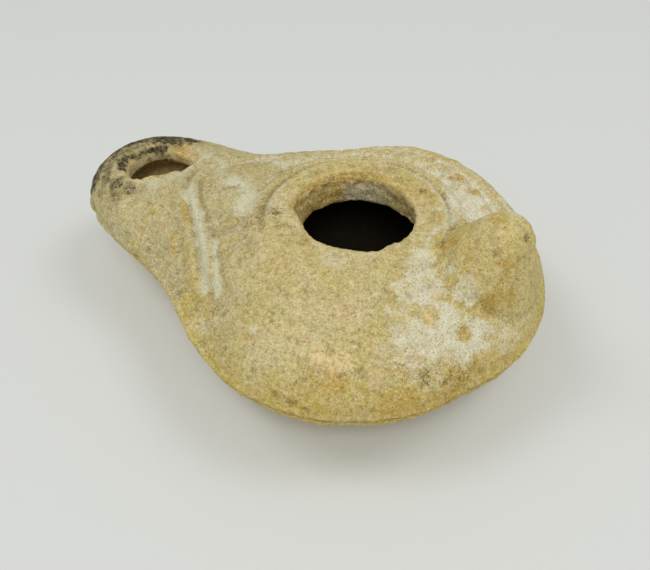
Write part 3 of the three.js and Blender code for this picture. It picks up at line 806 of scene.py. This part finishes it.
class Zones:
    """The zones of the lamp's surface, each as a share from 0 to 1 for every point."""

    def __init__(self, points, normals, seed):
        self.points = points
        self.seed = seed
        self.x, self.y, self.z = x, y, z = points.T
        self.radius = np.hypot(x, y)
        self.above_seam = z - seam_height(points)
        _, self.groove, self.leaf, self.band = shoulder_marks(points)
        self.handle = handle_share(points)
        self.wall = fill_wall(points)
        self.bevel = worn_bevel(points)
        self.wick = wick_wall(points)
        self.inside = inside_hollow(points, normals).astype(float)
        # The nozzle's chamber, whose inside gets painted light
        self.chamber = self.inside * smooth(*CHAMBER_START, x)
        self.far = smooth(*FAR_HALF, y)
        self.near_neck = zone(NEAR_NECK, x, y)
        self.far_rim = (self.radius < FAR_RIM_RADIUS) * (z > FAR_RIM_BOTTOM) * smooth(*FAR_RIM_ACROSS, y)

    def rough(self, size, step):
        return rough(self.points, size, self.seed + step)

    def patches(self, rows, step, ragged=0.55):
        return patches(self.points, rows, self.seed + step, ragged)

    def streaks(self, rows, step):
        return streaks(self.points, rows, self.seed + step)


# The white deposit: strengths from 0 to 1, and its gaps and places in millimetres
BARE_RAGGED = 0.3
CHALK_GAP_SIZE = 5.0
CHALK_GAPS = (-0.5, 0.3)
GROOVE_CHALK = 0.7
NECK_GROOVE_CHALK = 0.8
NECK_GROOVE_ALONG = (-8, -20)
BAND_CHALK = 0.42
HANDLE_BAND_CHALK = 0.35
HANDLE_BAND_ALONG = (-2, 12)
NEAR_BAND_CHALK = 0.2
NEAR_BAND_UNEVEN_CHALK = 0.3
LEAF_CLEARING = 1.6
WALL_CHALK = 0.5
WALL_CHALK_ZONE = ((3, 8), (6, -1), (-9, -4))


def chalk_deposit(zones):
    """White deposit in patches, in grooves, between the leaf strokes and on the filling hole's wall."""
    bare = zones.patches(BARE_PATCHES, 15, BARE_RAGGED)
    chalk = zones.patches(CHALK_PATCHES, 0) * (1 - bare)
    uneven = smooth(*CHALK_GAPS, zones.rough(CHALK_GAP_SIZE, 1))
    strength = np.maximum(GROOVE_CHALK, NECK_GROOVE_CHALK * smooth(*NECK_GROOVE_ALONG, zones.x))
    chalk = np.maximum(chalk, zones.groove * uneven * strength * zones.far)
    ground = zones.band * (1 - LEAF_CLEARING * zones.leaf)
    strength = BAND_CHALK + HANDLE_BAND_CHALK * smooth(*HANDLE_BAND_ALONG, zones.x)
    chalk = np.maximum(chalk, ground * zones.far * strength)
    strength = NEAR_BAND_CHALK + NEAR_BAND_UNEVEN_CHALK * uneven
    chalk = np.maximum(chalk, strength * ground * zones.near_neck)
    place = zone(WALL_CHALK_ZONE, zones.y, zones.x, zones.x)
    return np.maximum(chalk, WALL_CHALK * zones.wall * place)


# The painted highlight line on the rim's far edge, in millimetres
RIM_HIGHLIGHT_HALF_WIDTH = 0.6
RIM_HIGHLIGHT_BOTTOM = 25
RIM_HIGHLIGHT_GAP_SIZE = 3.0
RIM_HIGHLIGHT_GAPS = (-0.5, 0.2)


def white_wash_and_highlight(zones):
    """Thin whitish film in streaks, and a painted highlight line along the rim's far edge."""
    # Painted highlight along the rim's far edge
    line = bump(zones.radius - RIM_OUTER_RADIUS, RIM_HIGHLIGHT_HALF_WIDTH) * (zones.z > RIM_HIGHLIGHT_BOTTOM)
    gaps = smooth(*RIM_HIGHLIGHT_GAPS, zones.rough(RIM_HIGHLIGHT_GAP_SIZE, 14))
    return np.maximum(zones.streaks(WHITE_STREAKS, 8), zones.far * line * gaps)


# Iron stains beside the listed ones: strengths from 0 to 1, and places in millimetres
FAR_LEAF_OCHRE = 0.95
FAR_LEAF_ALONG = (2, 10)
NEAR_LEAF_OCHRE = 0.45
HOLE_OCHRE = 0.9
WALL_OCHRE_ALONG = (-1.5, -8.5)
WALL_OCHRE_RAG_SIZE = 2.5


def iron_stains(zones):
    """Ochre patches, streaks, leaf strokes and the filling hole's bevel and wall."""
    leaf = FAR_LEAF_OCHRE * zones.far * smooth(*FAR_LEAF_ALONG, zones.x)
    leaf = zones.leaf * (leaf + NEAR_LEAF_OCHRE * zones.near_neck)
    wall = HOLE_OCHRE * zones.wall
    wall = wall * smooth(*WALL_OCHRE_ALONG, zones.x + zones.rough(WALL_OCHRE_RAG_SIZE, 10))
    return highest(zones.patches(OCHRE_PATCHES, 2), zones.streaks(ORANGE_STREAKS, 9), leaf,
                   HOLE_OCHRE * zones.bevel, wall)


# Deeper yellow, and painted light in the nozzle's chamber: strengths from 0 to 1, heights against the
# seam and places in millimetres
LOW_WALL = ((9, -1), (-34, -14), (-0.9, 0.3))
LOW_WALL_GAP_SIZE = 9.0
HANDLE_GOLD = 0.35
FAR_RIM_GOLD = 0.3
UNDERSIDE_GOLD = 0.7
UNDERSIDE_HEIGHT = (1.0, -0.6)


def golden_clay_and_chamber_light(zones):
    """Deeper yellow of the lower wall, the handle and the rim's far side, and painted light in the
    nozzle's chamber.
    """
    low = zone(LOW_WALL, zones.above_seam, zones.x, zones.rough(LOW_WALL_GAP_SIZE, 5))
    underside = UNDERSIDE_GOLD * smooth(*UNDERSIDE_HEIGHT, zones.above_seam)
    rim = FAR_RIM_GOLD * zones.far_rim
    # The nozzle's chamber gets full gold as painted light
    return highest(low, HANDLE_GOLD * zones.handle, rim, underside, zones.chamber)


# Greyer clay: strengths from 0 to 1, and places in millimetres
GREY_NECK = ((-9, -24), (12, 16))
WALL_GREY = 0.1
FLANK_GREY = 0.8
FLANK = ((-4, -14), (-15, -24), (2, 6))
GREY_MEAN = 0.75
GREY_CHANGE = 0.5
GREY_CHANGE_SIZE = 6.0


def greyer_clay(zones):
    """Greyer clay of the neck and nozzle and of the near flank below the neck."""
    # The nozzle's chamber is kept out of the grey, so its painted light stays bright
    neck = zone(GREY_NECK, zones.x, zones.z) * (1 - zones.wick) * (1 - zones.chamber)
    flank = FLANK_GREY * zone(FLANK, zones.x, zones.y, zones.above_seam)
    grey = np.maximum(neck + WALL_GREY * zones.wall, flank)
    return grey * (GREY_MEAN + GREY_CHANGE * zones.rough(GREY_CHANGE_SIZE, 6))


# Soil and painted shade: strengths from 0 to 1, and places, heights and half widths in millimetres
# Painted shade in recesses, in proportion to their depth below the smoothed surface
RECESS_SHADE = 3.6
WICK_CLEARING = 0.7
PIT_DIRT = 0.5
# A painted shadow line along the top of the filling hole's far wall, under the rim's edge
WALL_TOP_SHADOW = 0.6
WALL_TOP_HEIGHT = 25.2
WALL_TOP_HALF_WIDTH = 0.9
WALL_TOP_ALONG = (-2, 5)
WALL_TOP_SLANT = 0.3
# Painted shade along the seam's crease on the near side
UNDER_SEAM_OFFSET = 0.9
UNDER_SEAM_HALF_WIDTH = 1.0
UNDER_SEAM_RADIUS = BODY_RADIUS - 4
# Painted shade on the near lower half, below the seam
LOWER_HALF_SHADE = 0.4
LOWER_HALF_HEIGHT = (-0.6, -2.2)
BEVEL_DIRT = 0.55
FAR_RIM_DIRT = 0.6
FAR_RIM_GAP_SIZE = 1.6
FAR_RIM_GAPS = (-0.3, 0.4)
# Painted shade in the groove at the rim's foot on the far side
RIM_FOOT_SHADE = 0.5
RIM_FOOT_BOTTOM = 23
# How far soil and painted shade are cleared from the nozzle's chamber, which has painted light
CHAMBER_CLEARING = 0.8
CHALK_CLEARING = 0.7


def soil_and_shade(zones, recess, pits, chalk):
    """Soil in pits, on the worn bevel round the filling hole and on the rim's far side, with painted
    shade in recesses, along the seam's crease, below the seam and in the groove at the rim's foot, and a
    painted shadow line along the top of the filling hole's wall.
    """
    near = zones.y < 0
    # Painted shade in the seam's crease
    seam_crease_shade = bump(zones.above_seam + UNDER_SEAM_OFFSET, UNDER_SEAM_HALF_WIDTH)
    seam_crease_shade = seam_crease_shade * (zones.radius > UNDER_SEAM_RADIUS) * near
    # Painted shadow line under the rim's edge, along the top of the filling hole's far wall
    along = smooth(*WALL_TOP_ALONG, zones.x + WALL_TOP_SLANT * zones.y)
    wall_top_shadow = zones.wall * bump(zones.z - WALL_TOP_HEIGHT, WALL_TOP_HALF_WIDTH) * along * (zones.y > 0)
    # Painted shade below the seam
    below = LOWER_HALF_SHADE * smooth(*LOWER_HALF_HEIGHT, zones.above_seam) * near
    below = below * (zones.x > NOZZLE_START)
    # Painted shade in recesses, with soil in the pits
    dirt_and_shade = recess * RECESS_SHADE * (1 - WICK_CLEARING * zones.wick) + pits * PIT_DIRT
    dirt_and_shade += WALL_TOP_SHADOW * wall_top_shadow
    dirt_and_shade += seam_crease_shade + below + BEVEL_DIRT * zones.bevel
    dirt_and_shade += FAR_RIM_DIRT * zones.far_rim * smooth(*FAR_RIM_GAPS, zones.rough(FAR_RIM_GAP_SIZE, 12))
    # Painted shade in the groove at the rim's foot
    rim_foot = bump(zones.radius - RIM_OUTER_RADIUS - RIM_FOOT_OFFSET, RIM_FOOT_HALF_WIDTH)
    dirt_and_shade += RIM_FOOT_SHADE * zones.far * rim_foot * (zones.z > RIM_FOOT_BOTTOM)
    # Soil and painted shade are cleared from the nozzle's chamber, which has painted light, and from the
    # chalk
    return dirt_and_shade * (1 - CHAMBER_CLEARING * zones.chamber) * (1 - CHALK_CLEARING * np.clip(chalk, 0, 1))


# Soot, a painted shadow line at the wick hole's far wall, and painted shade in the oil chamber: strength
# on the wick hole's wall, and places in millimetres
SOOT_RAGGED = 0.6
WICK_SOOT = 0.12
# A painted shadow line along the foot of the wick hole's far wall
WICK_SHADOW_HEIGHT = 20.0
WICK_SHADOW_HALF_WIDTH = 0.8
WICK_SHADOW_ALONG = (-43, -45.5)
# Where the painted shade in the oil chamber lies, and the size of its ragged edge
HOLLOW_SHADE_ALONG = (-29, -24)
HOLLOW_SHADE_HEIGHT = (19.8, 18.0)
HOLLOW_SHADE_RAG_SIZE = 1.5


def soot_and_shadow(zones):
    """Soot round the wick hole, and a painted shadow line along the foot of its far wall."""
    darkening = np.maximum(zones.patches(SOOT_PATCHES, 7, SOOT_RAGGED), zones.streaks(SOOT_STREAKS, 11))
    # Painted shadow line along the foot of the wick hole's far wall
    foot = bump(zones.z - WICK_SHADOW_HEIGHT, WICK_SHADOW_HALF_WIDTH) * smooth(*WICK_SHADOW_ALONG, zones.x)
    return highest(darkening, zones.wick * foot, WICK_SOOT * zones.wick)


def painted_hollow_shade(zones):
    """Painted shade, nearly black, on the oil chamber's walls."""
    height = smooth(*HOLLOW_SHADE_HEIGHT, zones.z + zones.rough(HOLLOW_SHADE_RAG_SIZE, 13))
    return zones.inside * smooth(*HOLLOW_SHADE_ALONG, zones.x) * height


STAIN_SEED_STEP = 10
WICK_PEACH = 0.45
WALL_UMBER = 0.6


def record_stains_and_shading(piece, surface, pits):
    """Keeps on the mesh where each stain, deposit and recess lies, and the painted shade, shadow lines,
    highlight and light, for the clay's material.
    """
    mesh = piece.data
    points = places(mesh)
    normals = directions(mesh)
    zones = Zones(points, normals, surface.seed + STAIN_SEED_STEP)
    recess = recesses(mesh, points, normals)
    chalk = chalk_deposit(zones)
    store(mesh, "chalk", chalk)
    # The wash share also holds the painted highlight line on the rim's far edge.
    store(mesh, "wash_and_highlight", white_wash_and_highlight(zones))
    store(mesh, "ochre", iron_stains(zones))
    # The peach share also holds painted light in the nozzle's chamber.
    peach = highest(zones.patches(PEACH_PATCHES, 3), WICK_PEACH * zones.wick, zones.chamber)
    store(mesh, "peach", peach)
    store(mesh, "umber", np.maximum(zones.patches(UMBER_PATCHES, 4), WALL_UMBER * zones.wall))
    store(mesh, "gold", golden_clay_and_chamber_light(zones))
    store(mesh, "grey", greyer_clay(zones))
    # The recess share holds soil in pits, on the bevel and rim, and painted shade in recesses, creases
    # and below the seam, with painted shadow lines.
    store(mesh, "recess", soil_and_shade(zones, recess, pits, chalk))
    # The soot share also holds the painted shadow line at the foot of the wick hole's far wall.
    store(mesh, "soot_and_shadow", soot_and_shadow(zones))
    # The residue share is painted shade in the oil chamber.
    store(mesh, "hollow_shade", painted_hollow_shade(zones))


# Mottling of the bare clay: size in millimetres, detail, roughness and distortion of its noise, then
# the values between which it sets in
MOTTLES = {
    "pale": (9.0, 4.0, 0.6, 0.0, 0.42, 0.6),
    "tan": (4.5, 5.0, 0.75, 0.4, 0.5, 0.62),
    "olive": (2.6, 6.0, 0.8, 0.0, 0.5, 0.62),
}

# The stored stains: weight against the noise that frays their edges, then the same as for the mottling
STAINS = {
    "gold": (0.5, 3.0, 5.0, 0.7, 0.0, 0.5, 0.9),
    "ochre": (0.4, 1.9, 5.0, 0.75, 0.0, 0.56, 0.86),
    "peach": (0.5, 1.5, 4.0, 0.7, 0.0, 0.62, 0.9),
    "chalk": (0.26, 1.6, 9.0, 0.95, 0.2, 0.54, 0.74),
    "wash_and_highlight": (0.55, 1.1, 7.0, 0.9, 0.0, 0.6, 1.05),
    "umber": (0.15, 0.45, 5.0, 0.85, 0.0, 0.61, 0.69),
    "soot_and_shadow": (0.15, 1.0, 9.0, 0.95, 0.3, 0.58, 0.65),
}

# How strongly each colour covers the ones below it, from 0 to 1; the recess, dark grain, soot and
# residue colours also carry painted shade and shadow, the wash a painted highlight and the light grains
# painted light
COVER = {
    "tan": 0.7, "grey": 0.85, "gold": 0.95, "olive": 0.5, "ochre": 0.85, "peach": 0.85, "recess": 0.6,
    "sand": 0.45, "chalk": 0.8, "wash_and_highlight": 0.9, "dark grain and painted shade": 0.75, "light grain and painted light": 0.85,
    "white grain": 0.95, "umber": 0.8, "soot film": 0.5, "soot_and_shadow": 0.93, "hollow_shade": 0.97,
}

# The sandy grain: size in millimetres, detail and roughness, and the values between which each of its
# colours sets in. The same noise lifts the bump, so the darker grain colours are partly painted shade in
# its hollows and the lighter ones partly painted light on its raised grains.
FINE_GRAIN = (0.33, 3.0, 0.8)
SAND_GRAIN = (0.85, 4.0, 0.8)
DARK_SAND_AND_PAINTED_SHADE = (0.49, 0.36)
LIGHT_SAND_AND_PAINTED_LIGHT = (0.53, 0.66)
DARK_GRAIN_AND_PAINTED_SHADE = (0.46, 0.3)
LIGHT_GRAIN_AND_PAINTED_LIGHT = (0.55, 0.7)
WHITE_GRAIN = (0.5, 0.62)
SOOT_ZONE = (0.3, 0.5)
FINE_BUMP_SHARE = 0.6
DRY_SPECULAR = 0.2


class Nodes:
    """Short ways to add and link the nodes of one material."""

    def __init__(self, name):
        self.material = bpy.data.materials.new(name)
        self.material.use_nodes = True
        self.tree = self.material.node_tree
        self.tree.nodes.clear()
        self.place = self.add("ShaderNodeTexCoord").outputs["Object"]

    def add(self, kind, inputs=None, **settings):
        made = self.tree.nodes.new(kind)
        for key, value in settings.items():
            setattr(made, key, value)
        for key, value in (inputs or {}).items():
            if isinstance(value, bpy.types.NodeSocket):
                self.tree.links.new(value, made.inputs[key])
            else:
                made.inputs[key].default_value = value
        return made

    def noise(self, size, detail=3.0, roughness=0.55, distortion=0.0):
        """Noise whose lumps are about the given size in millimetres."""
        settings = {"Vector": self.place, "Scale": 1 / (size * MM), "Detail": detail,
                    "Roughness": roughness, "Distortion": distortion}
        return self.add("ShaderNodeTexNoise", settings).outputs["Fac"]

    def ramp(self, value, low, high):
        """0 below low, 1 above high and a straight rise between."""
        limits = {"Value": value, "From Min": low, "From Max": high}
        return self.add("ShaderNodeMapRange", limits, clamp=True).outputs["Result"]

    def sum(self, operation, first, second):
        """One step of arithmetic between two values."""
        return self.add("ShaderNodeMath", {0: first, 1: second}, operation=operation).outputs[0]

    def mix(self, share, first, second):
        """The first colour, with the given share of the second."""
        made = self.add("ShaderNodeMix", data_type="RGBA")
        for key, value in ((0, share), (6, first), (7, second)):
            if isinstance(value, bpy.types.NodeSocket):
                self.tree.links.new(value, made.inputs[key])
            else:
                made.inputs[key].default_value = value
        return made.outputs[2]

    def tint(self, tone, share, strength, towards):
        """The tone, covered with another colour where the share says so."""
        return self.mix(self.sum("MULTIPLY", share, strength), tone, tuple(towards))

    def stored(self, name):
        """A share that the mesh keeps for each point."""
        return self.add("ShaderNodeAttribute", attribute_name=name).outputs["Fac"]

    def mottle(self, name):
        """How far a mottling colour shows."""
        size, detail, roughness, distortion, low, high = MOTTLES[name]
        return self.ramp(self.noise(size, detail, roughness, distortion), low, high)

    def stain(self, name):
        """How far a stored stain shows, with its edge frayed by noise."""
        weight, size, detail, roughness, distortion, low, high = STAINS[name]
        weighted = self.sum("MULTIPLY", self.stored(name), weight)
        frayed = self.sum("ADD", weighted, self.noise(size, detail, roughness, distortion))
        return self.ramp(frayed, low, high)


def clay_material(finish):
    """Dry fired clay with a sandy grain, mottling, stains, chalky deposit and soot, with painted shade
    in recesses, creases, grain hollows and the oil chamber, painted shadow lines, a painted highlight on
    the rim and painted light in the nozzle's chamber.
    """
    n = Nodes("fired_clay")
    fine = n.noise(*FINE_GRAIN)
    sand = n.noise(*SAND_GRAIN)
    tone = n.mix(n.mottle("pale"), tuple(finish.clay), tuple(finish.pale_clay))
    tone = n.tint(tone, n.mottle("tan"), COVER["tan"], finish.tan)
    tone = n.tint(tone, n.stored("grey"), COVER["grey"], finish.grey_clay)
    # The gold share also holds painted light in the nozzle's chamber.
    tone = n.tint(tone, n.stain("gold"), COVER["gold"], finish.gold)
    tone = n.tint(tone, n.mottle("olive"), COVER["olive"], finish.olive)
    tone = n.tint(tone, n.stain("ochre"), COVER["ochre"], finish.ochre)
    # The peach share also holds painted light in the nozzle's chamber.
    tone = n.tint(tone, n.stain("peach"), COVER["peach"], finish.peach)
    # Painted shade in recesses, creases and below the seam, painted shadow lines and soil, all from the
    # recess share
    tone = n.tint(tone, n.stored("recess"), COVER["recess"], finish.dirt_and_shade)
    # Sand grain colour, darker in the bump's hollows as painted shade and lighter on its raised grains
    # as painted light
    tone = n.tint(tone, n.ramp(sand, *DARK_SAND_AND_PAINTED_SHADE), COVER["sand"], finish.dirt_and_shade)
    tone = n.tint(tone, n.ramp(sand, *LIGHT_SAND_AND_PAINTED_LIGHT), COVER["sand"], finish.cream)
    chalk = n.stain("chalk")
    tone = n.tint(tone, chalk, COVER["chalk"], finish.chalk)
    # Whitish film, with the painted highlight line on the rim's far edge
    tone = n.tint(tone, n.stain("wash_and_highlight"), COVER["wash_and_highlight"], finish.wash_and_highlight)
    # Fine grain colour, darker in the bump's hollows as painted shade and lighter on its raised grains
    # as painted light
    tone = n.tint(tone, n.ramp(fine, *DARK_GRAIN_AND_PAINTED_SHADE), COVER["dark grain and painted shade"], finish.dirt_and_shade)
    tone = n.tint(tone, n.ramp(fine, *LIGHT_GRAIN_AND_PAINTED_LIGHT), COVER["light grain and painted light"], finish.cream)
    white_grain = n.sum("MULTIPLY", chalk, n.ramp(fine, *WHITE_GRAIN))
    tone = n.tint(tone, white_grain, COVER["white grain"], finish.chalk)
    tone = n.tint(tone, n.stain("umber"), COVER["umber"], finish.umber)
    # Soot, with the painted shadow line at the foot of the wick hole's far wall
    darkening = n.stored("soot_and_shadow")
    tone = n.tint(tone, darkening, COVER["soot film"], finish.umber)
    specks = n.sum("MULTIPLY", n.stain("soot_and_shadow"), n.ramp(darkening, *SOOT_ZONE))
    tone = n.tint(tone, specks, COVER["soot_and_shadow"], finish.soot_and_shadow)
    # Near-black painted shade in the oil chamber
    tone = n.tint(tone, n.stored("hollow_shade"), COVER["hollow_shade"], finish.hollow_shade)
    grain = n.sum("ADD", n.sum("MULTIPLY", fine, FINE_BUMP_SHARE), sand)
    bumpy = n.add("ShaderNodeBump", {"Height": grain, "Distance": finish.grain_bump, "Strength": 1.0})
    shader = n.add("ShaderNodeBsdfPrincipled", {
        "Base Color": tone, "Roughness": finish.roughness, "Specular IOR Level": DRY_SPECULAR,
        "Normal": bumpy.outputs["Normal"]})
    n.add("ShaderNodeOutputMaterial", {"Surface": shader.outputs["BSDF"]})
    return n.material


class LAMP_OT_clay_body(bpy.types.Operator):
    """Covers the lamp with its worn, pitted and stained clay"""

    bl_idname = "lamp.clay_body"
    bl_label = "Clay body"

    def execute(self, context):
        surface = context.scene.lamp_surface
        body = even_copy("lamp_body", "clay_body", surface.face_size)
        soften(body, surface.softening)
        thin_inside(body, surface.inside_share)
        pits = carve(body, surface)
        record_stains_and_shading(body, surface, pits)
        body.data.shade_smooth()
        body.data.materials.append(clay_material(context.scene.lamp_finish))
        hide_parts("lamp_body")
        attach(body, "root")
        return {"FINISHED"}


# The table's surface: size in millimetres, detail and roughness of its weave, and its height
WEAVE = (1.2, 3.0, 0.6)
WEAVE_HEIGHT = 0.05 * MM
WEAVE_STRENGTH = 0.4
TABLE_ROUGHNESS = 0.85


def table_material(stage):
    """A pale matt surface with a faint weave."""
    n = Nodes("pale_table")
    relief = {"Height": n.noise(*WEAVE), "Distance": WEAVE_HEIGHT, "Strength": WEAVE_STRENGTH}
    bumpy = n.add("ShaderNodeBump", relief)
    shader = n.add("ShaderNodeBsdfPrincipled", {
        "Base Color": tuple(stage.table_colour), "Roughness": TABLE_ROUGHNESS,
        "Specular IOR Level": DRY_SPECULAR, "Normal": bumpy.outputs["Normal"]})
    n.add("ShaderNodeOutputMaterial", {"Surface": shader.outputs["BSDF"]})
    return n.material


# The camera: bearing, height and lean in degrees, and lengths in millimetres
CAMERA_BEARING = 28.28
CAMERA_ELEVATION = 45.96
CAMERA_ROLL = -1.04
CAMERA_TARGET = Vector((-0.20, 0.0, 22.78))
CAMERA_DISTANCE = 124.26
CAMERA_SHIFT_RIGHT = -5.37
CAMERA_SHIFT_UP = -9.96
CAMERA_LENS = 38.34
CAMERA_SENSOR_WIDTH = 36.0
CAMERA_CLIP_START = 10.0

# The softboxes, in metres, aimed at the lamp
LEFT_LIGHT = (-0.465, -0.154, 0.755)
RIGHT_LIGHT = (0.384, 0.304, 0.755)
FRONT_LIGHT = (0.245, -0.454, 0.737)
SOFTBOX_SIZE = 0.36


def add_camera():
    """Sets the camera up as the photo was taken."""
    bearing, height, roll = (math.radians(a) for a in (CAMERA_BEARING, CAMERA_ELEVATION, CAMERA_ROLL))
    flat = math.cos(height)
    back = Vector((math.sin(bearing) * flat, -math.cos(bearing) * flat, math.sin(height)))
    level = Vector((math.cos(bearing), math.sin(bearing), 0))
    raised = back.cross(level)
    right = level * math.cos(roll) + raised * math.sin(roll)
    up = raised * math.cos(roll) - level * math.sin(roll)
    eye = CAMERA_TARGET + back * CAMERA_DISTANCE + right * CAMERA_SHIFT_RIGHT + up * CAMERA_SHIFT_UP
    data = bpy.data.cameras.new("camera")
    data.lens = CAMERA_LENS
    data.sensor_width = CAMERA_SENSOR_WIDTH
    data.clip_start = CAMERA_CLIP_START * MM
    camera = add_object("camera", data)
    camera.matrix_world = Matrix.Translation(eye * MM) @ Matrix((right, up, back)).transposed().to_4x4()
    bpy.context.scene.camera = camera


def add_softbox(name, place, size, power):
    """A square area light that faces the lamp."""
    data = bpy.data.lights.new(name, "AREA")
    data.shape = "SQUARE"
    data.size = size
    data.energy = power
    light = add_object(name, data)
    light.location = place
    light.rotation_euler = (-Vector(place)).to_track_quat("-Z", "Y").to_euler()


class LAMP_OT_stage(bpy.types.Operator):
    """Sets up the pale table, the soft light and the camera"""

    bl_idname = "lamp.stage"
    bl_label = "Table and light"

    def execute(self, context):
        stage = context.scene.lamp_stage
        edit = bmesh.new()
        bmesh.ops.create_grid(edit, x_segments=1, y_segments=1, size=stage.table_size / 2)
        mesh = bpy.data.meshes.new("table")
        edit.to_mesh(mesh)
        edit.free()
        table = add_object("table", mesh)
        mesh.materials.append(table_material(stage))
        world = bpy.data.worlds.new("room")
        world.use_nodes = True
        sky = world.node_tree.nodes["Background"]
        sky.inputs["Color"].default_value = (1.0, 1.0, 1.0, 1.0)
        sky.inputs["Strength"].default_value = stage.sky_strength
        context.scene.world = world
        context.scene.view_settings.view_transform = "Standard"
        add_softbox("left_light", LEFT_LIGHT, SOFTBOX_SIZE, stage.left_power)
        add_softbox("right_light", RIGHT_LIGHT, SOFTBOX_SIZE, stage.right_power)
        add_softbox("front_light", FRONT_LIGHT, SOFTBOX_SIZE, stage.front_power)
        add_camera()
        return {"FINISHED"}


class LAMP_PT_panel(bpy.types.Panel):
    """The lamp's pieces and their settings"""

    bl_idname = "LAMP_PT_panel"
    bl_label = "Oil Lamp"
    bl_space_type = "VIEW_3D"
    bl_region_type = "UI"
    bl_category = "Oil Lamp"

    def draw(self, context):
        scene = context.scene
        for group in (scene.lamp_surface, scene.lamp_finish, scene.lamp_stage):
            box = self.layout.box()
            for name in group.bl_rna.properties.keys():
                if name not in {"rna_type", "name"}:
                    box.prop(group, name)
        self.layout.operator("lamp.clay_body")
        self.layout.operator("lamp.stage")


CLASSES = (LampSurface, LampFinish, LampStage, LAMP_OT_clay_body, LAMP_OT_stage, LAMP_PT_panel)


def register():
    for item in CLASSES:
        bpy.utils.register_class(item)
    bpy.types.Scene.lamp_surface = bpy.props.PointerProperty(type=LampSurface)
    bpy.types.Scene.lamp_finish = bpy.props.PointerProperty(type=LampFinish)
    bpy.types.Scene.lamp_stage = bpy.props.PointerProperty(type=LampStage)


def unregister():
    del bpy.types.Scene.lamp_stage
    del bpy.types.Scene.lamp_finish
    del bpy.types.Scene.lamp_surface
    for item in reversed(CLASSES):
        bpy.utils.unregister_class(item)


def main():
    register()
    bpy.ops.lamp.clay_body()
    bpy.ops.lamp.stage()


if __name__ == "__main__":
    main()
